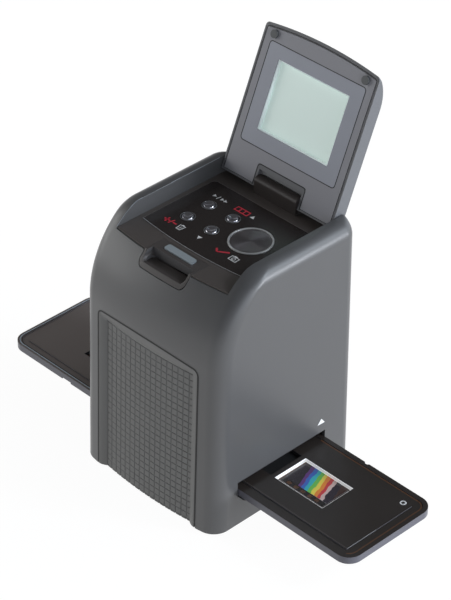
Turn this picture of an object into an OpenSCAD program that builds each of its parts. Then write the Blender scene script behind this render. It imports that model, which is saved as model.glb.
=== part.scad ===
// Tower film scanner: a housing with a flip-up display, a control deck with
// push buttons, and a holder for 35 mm film strips that slides through it.
// X runs along the film, +X to the right; the front faces -Y; Z = 0 is the
// plane that the rubber feet stand on; X = 0, Y = 0 is the optical axis.

/* [Body] */
// Width across the side walls
body_w = 104; // [100:1:126]
// Height of the cheeks above the shell's bottom edge
body_h = 153.3; // [140:0.1:184]
// Optical axis to the middle of the front, at the bottom edge
front_reach = 53.8; // [53:0.1:65]
// Optical axis to the rear face
rear_reach = 53.5; // [52:0.1:64]
// Radius of the front's bow, seen from above
bow_r = 283; // [240:1:400]
// Radius of the upright front corners
corner_r = 10.3; // [7:0.1:14]
// Radius of the upright rear corners
rear_corner = 7; // [5:0.1:9]
// Backward lean of the front, in degrees
front_lean = 2.07; // [0:0.01:4]
// Height below the cheeks' top at which the front starts to curve back
bend_drop = 48.6; // [44:0.1:54]
// Radius of the large curve of the front
nose_r = 56.7; // [52:0.1:60]
// Angle at which the large curve meets the small one, in degrees
brow_angle = 60; // [55:1:64]
// Radius of the cheeks' outer top edges
cheek_round = 7.8; // [6:0.1:9.5]
// Thickness of each cheek beside the deck
cheek_t = 10.3; // [9:0.1:12]
// Rise of the cheeks above the deck
cheek_rise = 9.8; // [9.6:0.1:12]
// Wall of the housing
wall = 2.4; // [2:0.1:3]
// Height of the rubber feet below the shell
foot_h = 1.2; // [1:0.1:3]

/* [Front] */
// Half width of the grip panel
grip_half = 37.9; // [34:0.1:39]
// Height of the grip panel's lower edge above the shell's
grip_lift = 0.3; // [0.2:0.1:3]
// Height of the grip panel's top above the shell's lower edge, at its middle
grip_h = 104.2; // [80:0.1:106]
// Radius of the grip panel's arched top
grip_arch_r = 250; // [200:1:400]
// Width of the grip panel's smooth border
grip_border = 4.4; // [3:0.1:8]
// Depth of the grip panel's textured field
grip_dish = 2.4; // [0.6:0.1:2.4]
// Half width of the finger pocket's insert
pocket_half = 17; // [15:0.1:19]
// Depth of the insert's outline below the deck
pocket_drop = 7.2; // [7:0.1:9]

/* [Film path] */
// Width of the film holder
holder_w = 64.4; // [60:0.1:66]
// Thickness of the film holder
holder_t = 4.3; // [4.2:0.1:5.2]
// Length of the film holder
holder_len = 265.6; // [246:0.1:318]
// Height of the holder's underside above the shell's bottom edge
holder_rise = 19.8; // [19.6:0.1:24]
// Film frame, along and across the strip
frame_w = 35.2; // [34:0.1:36]
// Film frame height
frame_h = 23.4; // [22:0.1:24]
// Distance between film frames
frame_pitch = 38; // [38:0.5:40]
// Number of windows in the holder
frames = 5; // [3:1:6]
// Height of the slot in each side wall
slot_h = 9.8; // [9.6:0.1:12]

/* [Display] */
// Thickness of the display lid
lid_t = 8.2; // [7.8:0.1:8.6]
// Length of the lid from its lower edge to the middle of its tip
lid_len = 86.6; // [83:0.1:89]
// Angle that the open lid leans back, in degrees
lid_lean = 23.7; // [15:0.1:30]
// Gap between the closed lid and the deck
lid_gap = 1.6; // [1.5:0.1:2.5]
// Visible width of the display
lcd_w = 50.6; // [46:0.1:54]
// Visible height of the display
lcd_h = 38.2; // [34:0.1:42]
// Display window width
window_w = 69; // [62:0.1:70]
// Display window height
window_h = 55.4; // [50:0.1:56]
// Diameter of the hinge pin
pin_d = 2.2; // [1.8:0.1:2.4]

/* [Keys] */
// Diameter of the four small keys
key_d = 6.8; // [5:0.1:7.2]
// Diameter of the large key
ok_d = 22; // [18:0.1:24]
// Length of the power bar
bar_len = 20.7; // [16:0.1:24]
// Width of the power bar
bar_w = 4.4; // [3.6:0.1:5]
// Travel of the keys
key_travel = 0.6; // [0.4:0.1:0.6]

/* [Fits] */
// Gap between parts that drop into each other
fit = 0.15; // [0.1:0.05:0.25]
// Radial gap of a running fit
run_fit = 0.04; // [0.02:0.01:0.08]
// Gap between the holder and its guides
slide_fit = 0.3; // [0.2:0.05:0.5]

/* [Hidden] */
$fn = 48;
eps = 0.01;

// Body levels and curves
half_w = body_w / 2;
top_z = foot_h + body_h;
deck_z = top_z - cheek_rise;
bend_z = top_z - bend_drop;
round_z = top_z - cheek_round;
gap_half = half_w - cheek_t;
bend_y = -front_reach + (bend_z - foot_h) * tan(front_lean);
nose_cy = bend_y + nose_r * cos(front_lean);
nose_cz = bend_z - nose_r * sin(front_lean);
brow_r = (top_z - nose_cz - nose_r * sin(brow_angle)) / (1 - sin(brow_angle));
brow_cy = nose_cy - (nose_r - brow_r) * cos(brow_angle);
brow_cz = nose_cz + (nose_r - brow_r) * sin(brow_angle);

// Front of the body at height z, offset inwards by inset
function front_y(z, inset = 0) =
    z <= bend_z - inset * sin(front_lean)
        ? -front_reach + (z - foot_h) * tan(front_lean) + inset / cos(front_lean)
    : z <= nose_cz + (nose_r - inset) * sin(brow_angle)
        ? nose_cy - sqrt(pow(nose_r - inset, 2) - pow(z - nose_cz, 2))
    : brow_cy - sqrt(max(0, pow(brow_r - inset, 2) - pow(z - brow_cz, 2)));

// Half width of the body at height z
function half_at(z, inset = 0) =
    z <= round_z ? half_w - inset
    : half_w - cheek_round
        + sqrt(max(0, pow(cheek_round - inset, 2) - pow(z - round_z, 2)));

// Right half of the body's outline at height z, from the middle of the front
rear_n = 8;
function plan_half(z, inset, rear, bow_n, corner_n) =
    let (
        w = half_at(z, inset),
        rb = bow_r - inset,
        rc = corner_r - inset,
        bow_cy = front_y(z, inset) + rb,
        cx = w - rc,
        cy = bow_cy - sqrt(pow(rb - rc, 2) - cx * cx),
        meet = atan2(cx, bow_cy - cy),
        rr = max(0.5, rear_corner - inset)
    )
    concat(
        [for (i = [0:bow_n]) let (a = meet * i / bow_n) [rb * sin(a), bow_cy - rb * cos(a)]],
        [for (i = [1:corner_n]) let (a = meet + (90 - meet) * i / corner_n)
            [cx + rc * sin(a), cy - rc * cos(a)]],
        [for (i = [0:rear_n]) let (a = 90 * i / rear_n)
            [w - rr + rr * cos(a), rear - rr + rr * sin(a)]]
    );

function plan(z, inset, rear, bow_n, corner_n) =
    let (h = plan_half(z, inset, rear, bow_n, corner_n), n = len(h))
    concat(h, [for (i = [n - 1:-1:1]) [-h[i][0], h[i][1]]]);

// Heights at which the body is sectioned
function body_levels(inset, low, nose_n, round_n) =
    let (
        a0 = front_lean,
        a1 = asin((round_z - nose_cz) / (nose_r - inset))
    )
    concat(
        [low, bend_z - inset * sin(front_lean)],
        [for (i = [1:nose_n]) nose_cz + (nose_r - inset) * sin(a0 + (a1 - a0) * i / nose_n)],
        [for (i = [1:round_n]) round_z + (cheek_round - inset) * sin(90 * i / round_n)]
    );

// The body's outer form, or the same form smaller by inset
module body_form(inset = 0, low = foot_h, rear = rear_reach,
        bow_n = 8, corner_n = 10, nose_n = 12, round_n = 9) {
    levels = body_levels(inset, low, nose_n, round_n);
    rings = [for (z = levels) plan(z, inset, rear, bow_n, corner_n)];
    n = len(rings[0]);
    last = len(levels) - 1;
    points = [for (k = [0:last]) for (p = rings[k]) [p[0], p[1], levels[k]]];
    sides = [for (k = [0:last - 1]) for (i = [0:n - 1])
        let (a = k * n + i, b = k * n + (i + 1) % n) each [[a, b + n, b], [a, a + n, b + n]]];
    bottom = [for (i = [0:n - 1]) i];
    cap = [for (i = [n - 1:-1:0]) last * n + i];
    polyhedron(points, concat([bottom], sides, [cap]));
}

// Inside of the housing, open below
module cavity() {
    body_form(wall, foot_h - 1, rear_reach - wall, 6, 5, 6, 5);
}

// A flat plate with the body's bow along its front edge
module bowed(y_front, y_rear, half_x, h) {
    linear_extrude(h) intersection() {
        translate([0, y_front + bow_r]) circle(bow_r, $fn = 360);
        translate([-half_x, y_front - 1]) square([2 * half_x, y_rear - y_front + 1]);
    }
}

// A rectangle with round corners, centred
module round_rect(w, h, r) {
    square([w - 2 * r, h], center = true);
    square([w, h - 2 * r], center = true);
    for (x = [-1, 1], y = [-1, 1]) translate([x * (w / 2 - r), y * (h / 2 - r)]) circle(r);
}

// A box, centred in X and Y, standing at z
module block(w, d, h, x = 0, y = 0, z = 0) {
    translate([x - w / 2, y - d / 2, z]) cube([w, d, h]);
}

module rod(d, h, x = 0, y = 0, z = 0) {
    translate([x, y, z]) cylinder(d = d, h = h);
}

// A pan-head screw, its head down at z = 0, the shank up
module screw(shank_d, shank_l, head_d, head_h) {
    difference() {
        cylinder(d = head_d, h = head_h);
        for (a = [0, 90]) rotate([0, 0, a])
            translate([-head_d * 0.3, -head_d * 0.06, -eps])
                cube([head_d * 0.6, head_d * 0.12, head_h * 0.6]);
    }
    translate([0, 0, head_h - eps]) cylinder(d = shank_d, h = shank_l + eps);
}

// Housing details
deck_t = 2.4;
rim_t = 0.8;
cheek_wall = 2.2;
tab_t = 3;
tab_reach = 6;
tab_y = [-16, 34];
tab_x = gap_half - 3;
screw_gap = 0.03;
base_t = 2.2;
base_screw = [half_w - 8.5, 34];
rear_t = 2.4;
inner_rear = rear_reach - rear_t - fit;
rear_half = gap_half - fit;
rear_top = deck_z - rim_t - fit;
rear_screw_x = rear_half - 4;
rear_screw_z = [foot_h + 14, deck_z - 12];
boss_d = 6.4;
grip_t = 3.6;
grip_seat = grip_t + fit;
grip_back = 5.8;
holder_z = foot_h + holder_rise;
slot_z = holder_z - 1.3;
slot_w = holder_w + 1;
board_t = 1.6;

// A panel with an arched top and round shoulders, seen from the front
module arched(half, low, top, arch_r, corner) {
    shoulder = top - arch_r + sqrt(pow(arch_r - corner, 2) - pow(half - corner, 2));
    intersection() {
        translate([0, top - arch_r]) circle(arch_r, $fn = 360);
        union() {
            translate([-half, low]) square([2 * half, shoulder - low]);
            translate([corner - half, low]) square([2 * (half - corner), top - low]);
            for (x = [-1, 1]) translate([x * (half - corner), shoulder]) circle(corner);
        }
    }
}

// Outline of the grip panel, smaller by m
module grip_face(m, low = foot_h + grip_lift) {
    arched(grip_half - m, low, foot_h + grip_h - m, grip_arch_r, max(1, 3.6 - m / 3));
}

// Something drawn in the front view, pushed along Y from y0 to y1
module through_front(y0, y1) {
    translate([0, y1, 0]) rotate([90, 0, 0]) linear_extrude(y1 - y0) children();
}

module front_band(inset, thick) {
    difference() {
        body_form(inset, foot_h, rear_reach, 8, 2, 1, 1);
        body_form(inset + thick, foot_h - 1, rear_reach + 1, 8, 2, 1, 1);
    }
}

module cheek_walls() {
    low = deck_z - deck_t - tab_t;
    for (x = [-1, 1]) {
        block(cheek_wall, 140, top_z - deck_z, x * (gap_half + cheek_wall / 2), 0, deck_z);
        block(cheek_wall, 140, top_z - low, x * (gap_half + cheek_wall / 2), inner_rear - 70, low);
    }
}

module deck_tabs() {
    for (x = [-1, 1], y = tab_y) difference() {
        block(tab_reach + cheek_wall, 8, tab_t,
            x * (gap_half + cheek_wall / 2 - tab_reach / 2), y, deck_z - deck_t - tab_t);
        rod(2.4, tab_t + 2, x * tab_x, y, deck_z - deck_t - tab_t - 1);
    }
}

module base_bosses() {
    for (x = [-1, 1], y = [-1, 1]) difference() {
        union() {
            rod(boss_d, 12, x * base_screw[0], y * base_screw[1], foot_h + base_t + fit);
            block(half_w - wall / 2 - base_screw[0], 3, 12,
                x * (base_screw[0] + half_w - wall / 2) / 2, y * base_screw[1],
                foot_h + base_t + fit);
        }
        rod(2.5 + 2 * screw_gap, 9, x * base_screw[0], y * base_screw[1], foot_h + base_t);
    }
}

module rear_bosses() {
    web = half_w - wall / 2 - rear_screw_x;
    for (x = [-1, 1], z = rear_screw_z) difference() {
        union() {
            translate([x * rear_screw_x, inner_rear, z]) rotate([90, 0, 0])
                cylinder(d = boss_d, h = 10);
            block(web, 7, 3, x * (rear_screw_x + web / 2), inner_rear - 6.5, z - 1.5);
        }
        translate([x * rear_screw_x, inner_rear + 1, z]) rotate([90, 0, 0])
            cylinder(d = 2.5 + 2 * screw_gap, h = 8);
    }
}

board_z = deck_z - 36;
board_hole_x = half_w - wall - 6.5;
board_hole_y = [-18, 34];

module board_ledges() {
    for (x = [-1, 1], y = board_hole_y) difference() {
        block(9, 8, 3, x * (half_w - wall / 2 - 4.5), y, board_z - 3);
        rod(2 + 2 * screw_gap, 5, x * board_hole_x, y, board_z - 4);
    }
}

module pocket_face(m) {
    half = pocket_half + m;
    low = deck_z - pocket_drop - m;
    corner = 3.6;
    translate([-half, low + corner]) square([2 * half, pocket_drop + 5]);
    translate([corner - half, low]) square([2 * (half - corner), pocket_drop + 5]);
    for (x = [-1, 1]) translate([x * (half - corner), low + corner]) circle(corner);
}

module main_shell() color("#5a5c60") {
    difference() {
        union() {
            difference() {
                body_form();
                cavity();
            }
            intersection() {
                front_band(wall - 0.4, grip_back - wall + 0.4);
                block(2 * grip_half + 6, 60, grip_h + 3, 0, -50, foot_h);
            }
            intersection() {
                body_form(wall / 2, foot_h, rear_reach, 6, 5, 6, 5);
                cheek_walls();
            }
            deck_tabs();
            base_bosses();
            rear_bosses();
            board_ledges();
        }
        // Space between the cheeks
        block(2 * gap_half, 200, 40, 0, 0, deck_z - rim_t);
        // Opening of the rear cover
        block(2 * gap_half, 2 * wall, deck_z - foot_h + 1, 0, rear_reach, foot_h - 1);
        // Film slot
        block(body_w + 20, slot_w, slot_h, 0, 0, slot_z);
        // Seat of the grip panel
        difference() {
            through_front(-80, -30) grip_face(-fit, foot_h - 5);
            body_form(grip_seat, foot_h - 8, rear_reach, 8, 2, 1, 1);
        }
        block(2 * (grip_half + fit), 30, grip_lift + 5, 0, -50, foot_h - 5);
        // Opening for the finger pocket
        through_front(-70, -20) pocket_face(fit);
    }
}

module grip_panel() color("#55575a") {
    difference() {
        intersection() {
            front_band(0, grip_t);
            through_front(-80, -30) grip_face(0);
        }
        difference() {
            through_front(-80, -30) grip_face(grip_border, foot_h - 5);
            body_form(grip_dish, foot_h - 8, rear_reach, 8, 2, 1, 1);
        }
    }
}

card_x = -20;
card_w = 26;
usb_x = 10;
jack_x = 28;
port_z = board_z + 1.6;

module rear_cover() color("#4b4d50") {
    y0 = rear_reach - rear_t;
    difference() {
        block(2 * rear_half, rear_t, rear_top - foot_h, 0, rear_reach - rear_t / 2, foot_h);
        // Ports
        block(card_w, 10, 3.6, card_x, rear_reach, port_z - 0.2);
        block(9.2, 10, 5.4, usb_x, rear_reach, port_z - 0.6);
        translate([jack_x, y0 - 1, port_z + 3]) rotate([-90, 0, 0]) cylinder(d = 7, h = 6);
        // Vents
        for (x = [-1, 1], k = [0:6])
            block(26, 10, 1.8, x * 17, rear_reach, foot_h + 50 + 4.4 * k);
        // Screw seats
        for (x = [-1, 1], z = rear_screw_z) translate([x * rear_screw_x, y0 - 1, z])
            rotate([-90, 0, 0]) {
                cylinder(d = 3, h = 6);
                translate([0, 0, 2.2]) cylinder(d = 5.2, h = 6);
            }
    }
}

module rear_screws() color("#2b2b2d") {
    for (x = [-1, 1], z = rear_screw_z)
        translate([x * rear_screw_x, rear_reach - 0.1, z]) rotate([90, 0, 0])
            screw(2.5, 7, 4.8, 1);
}

foot_d = 11;
foot_at = [half_w - 22, 36];

module base_outline() {
    intersection() {
        polygon(plan(foot_h, wall + fit, inner_rear, 8, 8));
        translate([0, bow_r - front_reach + grip_back + 2 * fit]) circle(bow_r, $fn = 360);
    }
}

lamp_z = foot_h + 5.2;
lamp_post = [26, 12];
guide_z = slot_z + fit;
guide_post = [36, 20];
rail_in = holder_w / 2 + slide_fit;
rail_out = rail_in + 4.9;
rail_post = [30, rail_out - 2.4];
stake_d = 2;

module base_post(d, top, x, y) {
    rod(d, top - foot_h - 1, x, y, foot_h + 1);
}

module base_plate() color("#3c3d40") {
    difference() {
        union() {
            translate([0, 0, foot_h]) linear_extrude(base_t) base_outline();
            for (x = [-1, 1], y = [-1, 1]) {
                base_post(5, lamp_z, x * lamp_post[0], y * lamp_post[1]);
                base_post(stake_d, lamp_z + board_t + 0.4, x * lamp_post[0], y * lamp_post[1]);
                base_post(5, guide_z, x * guide_post[0], y * guide_post[1]);
                base_post(stake_d, holder_z - slide_fit, x * guide_post[0], y * guide_post[1]);
                base_post(6, guide_z, x * rail_post[0], y * rail_post[1]);
            }
        }
        for (x = [-1, 1], y = [-1, 1]) {
            rod(2.9, 10, x * base_screw[0], y * base_screw[1], foot_h - 1);
            rod(5.2, 2, x * base_screw[0], y * base_screw[1], foot_h - 1);
            rod(foot_d + 2 * fit, 1.8, x * foot_at[0], y * foot_at[1], foot_h - 1);
            rod(2.5 + 2 * screw_gap, 9, x * rail_post[0], y * rail_post[1], guide_z - 8);
        }
    }
}

module rubber_feet() color("#1c1c1d") {
    for (x = [-1, 1], y = [-1, 1]) {
        rod(foot_d, foot_h + 0.8, x * foot_at[0], y * foot_at[1], 0);
    }
}

module base_screws() color("#8c8e92") {
    for (x = [-1, 1], y = [-1, 1])
        translate([x * base_screw[0], y * base_screw[1], foot_h + 0.1]) screw(2.5, 7.5, 4.8, 0.9);
}

// Control deck
fascia_half = gap_half - 3.3;
fascia_front = -17.1;
fascia_rear = 37.6;
fascia_sink = 1;
fascia_proud = 0.2;
key_x = [-23, -5];
key_y = [18.7, 3.2];
keys = [for (y = key_y) for (x = key_x) [x, y]];
ok_at = [16.5, 10.7];
bar_at = [0, -23.6];
flange_over = 2.4;
flange_t = 0.8;
pocket_rear = -19.6;
pocket_back = -28.4;
board_drop = 8;
switch_h = 3.4;
button_z = deck_z - board_drop;
post_at = [[-31, 27], [31, 27], [-31, -12], [31, -12]];
stem_d = 3;
deck_front = front_y(deck_z);
deck_inner = front_y(deck_z - rim_t, wall) + 0.6;
hinge_inset = 5.6;
hinge_in = 2.8;
hinge_up = 1.7;
hinge_y = rear_reach - hinge_inset;
hinge_z = deck_z + lid_gap + hinge_in;
notch_half = 15.9;
block_half = notch_half - 0.35;
block_front = hinge_y - 3.8;
block_rear = hinge_y + 2.9;
hinge_screw_x = 7;
hinge_screw_y = hinge_y - 2.3;
ear_out = 19;

module control_deck() color("#2e2a2a") {
    half = gap_half - fit;
    difference() {
        union() {
            translate([0, 0, deck_z - rim_t])
                bowed(deck_front, rear_reach, half, rim_t);
            translate([0, 0, deck_z - deck_t])
                bowed(deck_inner, inner_rear, half, deck_t - rim_t + eps);
            for (p = post_at)
                rod(5, board_drop - deck_t + eps, p[0], p[1], button_z);
        }
        // Recess for the fascia
        translate([0, 0, deck_z - fascia_sink]) fascia_plate(fit, 5);
        // Keys
        for (p = keys) rod(key_d + flange_over + 0.6, 20, p[0], p[1], deck_z - 10);
        rod(ok_d + 4.6, 20, ok_at[0], ok_at[1], deck_z - 10);
        // Finger pocket
        block(2 * (pocket_half + fit), 40, 20, 0, pocket_rear + fit - 20, deck_z - 10);
        // Screws
        for (p = post_at) rod(2 + 2 * screw_gap, 6, p[0], p[1], button_z - 1);
        for (x = [-1, 1], y = tab_y)
            rod(2 + 2 * screw_gap, 1.9, x * tab_x, y, deck_z - deck_t - 0.5);
        for (x = [-1, 1]) rod(2.4, 20, x * hinge_screw_x, hinge_screw_y, deck_z - 10);
    }
}

module fascia_plate(m, h) {
    r = 2.5;
    half = fascia_half + m;
    rear = fascia_rear + m;
    difference() {
        bowed(fascia_front - m, rear, half, h);
        for (x = [-1, 1]) difference() {
            block(2 * r, 2 * r, h + 2, x * half, rear, -1);
            rod(2 * r, h + 2, x * (half - r), rear - r, -1);
            block(2 * r, 2 * r, h + 2, x * (half - 2 * r), rear, -1);
            block(2 * r, 2 * r, h + 2, x * half, rear - 2 * r, -1);
        }
    }
}

module control_fascia() color("#151316") {
    difference() {
        translate([0, 0, deck_z - fascia_sink]) fascia_plate(0, fascia_sink + fascia_proud);
        for (p = keys) rod(key_d + 1.6, 20, p[0], p[1], deck_z - 10);
        rod(ok_d + 2.4, 20, ok_at[0], ok_at[1], deck_z - 10);
    }
}

module ring(d_out, d_in, h) {
    difference() {
        cylinder(d = d_out, h = h);
        translate([0, 0, -1]) cylinder(d = d_in, h = h + 2);
    }
}

module key_rings() color("#c8cacc") {
    for (p = keys) translate([p[0], p[1], deck_z - fascia_sink])
        ring(key_d + 1.6, key_d + 2 * fit, fascia_sink + 0.5);
}

module ok_ring() color("#c8cacc") {
    translate([ok_at[0], ok_at[1], deck_z - fascia_sink])
        ring(ok_d + 2.4, ok_d + 2 * fit, fascia_sink + 0.8);
}

// A push button: flange below the fascia, cap above, stem down into its switch
module push_button(at, flange) {
    flange_z = deck_z - fascia_sink - 0.1 - flange_t;
    stem_z = button_z + switch_h - 2.4 + key_travel + 0.1;
    translate([at[0], at[1], 0]) {
        children();
        translate([0, 0, flange_z]) cylinder(d = flange, h = flange_t);
        translate([0, 0, stem_z]) cylinder(d = stem_d, h = flange_z - stem_z + eps);
    }
}

module small_key(i) {
    low = deck_z - fascia_sink - 0.1;
    top = deck_z + 1.1;
    push_button(keys[i], key_d + flange_over) intersection() {
        translate([0, 0, low]) cylinder(d = key_d, h = top - low);
        translate([0, 0, top - 7]) sphere(7, $fn = 96);
    }
}

module play_button() color("#26262a") small_key(0);
module type_button() color("#26262a") small_key(1);
module exposure_button() color("#26262a") small_key(2);
module down_button() color("#26262a") small_key(3);
module ok_button() color("#3a3a3f") {
    low = deck_z - fascia_sink - 0.1;
    push_button(ok_at, ok_d + 4) {
        translate([0, 0, low]) cylinder(d = ok_d, h = deck_z + 0.4 - low);
        translate([0, 0, deck_z + 0.4 - eps]) cylinder(d1 = ok_d, d2 = ok_d - 1.6, h = 0.3);
    }
}

module bar_shape(m) {
    round_rect(bar_len + 2 * m, bar_w + 2 * m, 1.2 + m);
}

module power_button() color("#a9b6c2") {
    flange_z = deck_z - 2.5;
    stem_z = button_z + switch_h - 2.4 + key_travel + 0.1;
    translate([bar_at[0], bar_at[1], 0]) {
        translate([0, 0, flange_z]) linear_extrude(deck_z + 0.7 - flange_z) bar_shape(0);
        translate([0, 0, flange_z]) linear_extrude(0.8) bar_shape(0.9);
        translate([0, 0, stem_z]) cylinder(d = stem_d, h = flange_z - stem_z + eps);
    }
}

module finger_pocket() color("#37373a") {
    inner = pocket_half - 3;
    floor_z = deck_z - 6;
    lip_z = deck_z - 4.9;
    back_t = 1.4;
    plate_t = 1.6;
    difference() {
        union() {
            intersection() {
                body_form(0, foot_h, rear_reach, 8, 2, 12, 2);
                through_front(-70, pocket_back + back_t) pocket_face(0);
                block(60, 120, 60, 0, -40, deck_z - 60);
            }
            block(2 * pocket_half, pocket_rear - pocket_back, plate_t, 0,
                (pocket_rear + pocket_back) / 2, deck_z - plate_t);
            for (x = [-1, 1]) {
                block(1.5, pocket_rear - pocket_back, deck_t + 1, x * (pocket_half - 0.75),
                    (pocket_rear + pocket_back) / 2, deck_z - deck_t - 1);
                block(4, pocket_rear - pocket_back - 2, 1, x * (pocket_half + 0.6),
                    (pocket_rear + pocket_back) / 2 + 1, deck_z - deck_t - 1);
            }
        }
        block(2 * inner, 40, 20, 0, pocket_back - 20, lip_z);
        block(2 * inner, 6.6, 20, 0, pocket_back - 3.3, floor_z);
        translate([bar_at[0], bar_at[1], deck_z - 5]) linear_extrude(10) bar_shape(0.2);
    }
}

module deck_screws() color("#8c8e92") {
    for (x = [-1, 1], y = tab_y)
        translate([x * tab_x, y, deck_z - deck_t - tab_t - 1.2]) screw(2, 4, 3.8, 1.2);
}

module button_board() color("#1f5a36") {
    difference() {
        block(70, 57, board_t, 0, 1.1, button_z - board_t);
        for (p = post_at) rod(2.3, 10, p[0], p[1], button_z - 5);
    }
}

module board_screws() color("#8c8e92") {
    for (p = post_at)
        translate([p[0], p[1], button_z - board_t - 1.2]) screw(2, 5.5, 3.8, 1.2);
}

module tact_switches() color("#3a3a3a") {
    for (p = concat(keys, [ok_at, bar_at])) difference() {
        block(6.2, 6.2, switch_h, p[0], p[1], button_z);
        rod(stem_d + 0.6, 10, p[0], p[1], button_z + switch_h - 2.4);
    }
}

// Hinge between the deck and the lid
module along_x(x0, x1) {
    translate([x0, hinge_y, hinge_z]) rotate([0, 90, 0]) cylinder(d = $d, h = x1 - x0);
}

bush_d = 4.2;
bush_l = 5;

module hinge_block() color("#2e2a2a") {
    depth = block_rear - block_front;
    difference() {
        union() {
            block(2 * block_half, depth, cheek_rise - 2.5, 0, (block_front + block_rear) / 2, deck_z);
            block(2 * block_half, depth - 5, cheek_rise, 0, (block_front + block_rear) / 2, deck_z);
            for (y = [block_front + 2.5, block_rear - 2.5])
                translate([-block_half, y, top_z - 2.5]) rotate([0, 90, 0])
                    cylinder(r = 2.5, h = 2 * block_half);
        }
        along_x(-block_half - 1, block_half + 1, $d = pin_d + 2 * run_fit + 0.3);
        for (x = [-block_half - 1, block_half - bush_l]) along_x(x, x + bush_l + 1, $d = bush_d);
        for (x = [-1, 1]) rod(2 + 2 * screw_gap, 3, x * hinge_screw_x, hinge_screw_y, deck_z - 1);
    }
}

module hinge_bushes() color("#b08a4a") {
    for (x = [-block_half, block_half - bush_l]) difference() {
        along_x(x, x + bush_l, $d = bush_d);
        along_x(x - 1, x + bush_l + 1, $d = pin_d + 2 * run_fit);
    }
}

module hinge_screws() color("#8c8e92") {
    for (x = [-1, 1]) translate([x * hinge_screw_x, hinge_screw_y, deck_z - deck_t - 1.2])
        screw(2, deck_t + 1.7, 3.8, 1.2);
}

module hinge_pin() color("#b9bbbe") {
    along_x(-ear_out, ear_out, $d = pin_d);
}

// Film path
guide_top = holder_z - slide_fit;
upper_z = holder_z + holder_t + 0.5;
upper_t = 2.2;
upper_top = upper_z + upper_t;
guide_half = half_w - wall - 0.4;
tongue_out = half_w + 12;
holder_r = 8.5;
cover_x = holder_len / 2 - 8;
cover_near = 6.2 - holder_w / 2;
cover_far = holder_w / 2 - 8.6;
cover_z = holder_z + 2;
film_t = 0.15;
film_w = 35;
film_len = frames * frame_pitch;
film_z = cover_z - film_t - 0.05;
detent_x = 8;
cover_pin_d = 1.2;
cover_pin_z = holder_z + 2.9;
windows = [for (k = [0:frames - 1]) (k - (frames - 1) / 2) * frame_pitch];

module lower_guide() color("#232325") {
    edge = rail_in - fit;
    end = tongue_out - 8;
    difference() {
        translate([0, 0, guide_z]) linear_extrude(guide_top - guide_z) polygon([
            [-end, -edge], [end, -edge], [tongue_out, 8 - edge], [tongue_out, edge - 8],
            [end, edge], [-end, edge], [-tongue_out, edge - 8], [-tongue_out, 8 - edge]]);
        block(40, 28, 10, 0, 0, guide_z - 5);
        for (x = [-1, 1], y = [-1, 1])
            rod(stake_d + 2 * screw_gap, 10, x * guide_post[0], y * guide_post[1], guide_z - 5);
    }
}

module upper_guide() color("#232325") {
    difference() {
        union() {
            block(2 * guide_half, 2 * rail_out, upper_t, 0, 0, upper_z);
            for (y = [-1, 1])
                block(2 * guide_half, rail_out - rail_in, upper_z - guide_z + eps, 0,
                    y * (rail_in + rail_out) / 2, guide_z);
        }
        block(38, 27, 10, 0, 0, upper_z - 5);
        // Pocket of the detent spring
        block(15, 3, holder_t - 0.8, detent_x, rail_in + 1.5, holder_z + 0.4);
        for (x = [-1, 1], y = [-1, 1])
            rod(2.9, 20, x * rail_post[0], y * rail_post[1], guide_z - 5);
    }
}

module guide_screws() color("#8c8e92") {
    for (x = [-1, 1], y = [-1, 1])
        translate([x * rail_post[0], y * rail_post[1], upper_top + 1.2]) rotate([180, 0, 0])
            screw(2.5, upper_top - guide_z + 5, 4.4, 1.2);
}

module detent_spring() color("#b9bbbe") {
    leaf = 0.4;
    seat = rail_in + 3;
    h = holder_t - 1.3;
    block(14, leaf, h, detent_x, seat - leaf / 2, holder_z + 0.65);
    translate([detent_x, seat - leaf, holder_z + 0.65]) intersection() {
        ring(5, 4.2, h);
        block(8, 4, h, 0, -2, 0);
    }
}

module holder_outline(m) {
    round_rect(holder_len - 2 * m, holder_w - 2 * m, holder_r - m);
}

module holder_windows() {
    for (x = windows) block(frame_w, frame_h, 20, x, 0, holder_z - 5);
}

module cover_outline(m) {
    translate([0, (cover_near + cover_far) / 2])
        round_rect(2 * (cover_x + m), cover_far - cover_near + 2 * m, 0.8);
}

module cover_pin_rods(x0, x1, d) {
    for (s = [-1, 1]) translate([s * (x0 + x1) / 2, cover_far - 1.4, cover_pin_z])
        rotate([0, 90, 0]) cylinder(d = d, h = x1 - x0, center = true);
}

module holder_base() color("#1d1c1e") {
    difference() {
        union() {
            translate([0, 0, holder_z]) linear_extrude(holder_t - 0.4) holder_outline(0);
            translate([0, 0, holder_z]) linear_extrude(holder_t) difference() {
                holder_outline(0);
                holder_outline(2.8);
            }
        }
        translate([0, 0, cover_z]) linear_extrude(10) cover_outline(fit);
        block(film_len + 2, film_w + 0.4, 5, 0, 0, film_z);
        holder_windows();
        cover_pin_rods(cover_x - 2, cover_x + 2.3, cover_pin_d);
        // Detent notches
        for (x = windows) rod(3.2, 20, detent_x - x, holder_w / 2 + 0.6, holder_z - 5);
        // Corner notch of the near lower edge
        block(7, 3, 3, -85.5, -holder_w / 2, holder_z - 2.1);
    }
}

module holder_cover() color("#1d1c1e") {
    difference() {
        translate([0, 0, cover_z]) linear_extrude(holder_z + holder_t - cover_z)
            cover_outline(0);
        holder_windows();
        cover_pin_rods(cover_x - 2.1, cover_x + 1, cover_pin_d + 2 * run_fit);
    }
}

module cover_pins() color("#b9bbbe") {
    cover_pin_rods(cover_x - 2, cover_x + 2.2, cover_pin_d);
}

module film_strip() color("#6a5a3c") {
    difference() {
        block(film_len, film_w, film_t, 0, 0, film_z);
        for (y = [-1, 1], k = [0:floor(film_len / 4.75) - 1])
            block(2, 2.8, 2, 2.375 - film_len / 2 + 4.75 * k, y * (film_w / 2 - 3.4), film_z - 1);
    }
}

// Light source
lamp_top = guide_z - 2;

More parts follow.
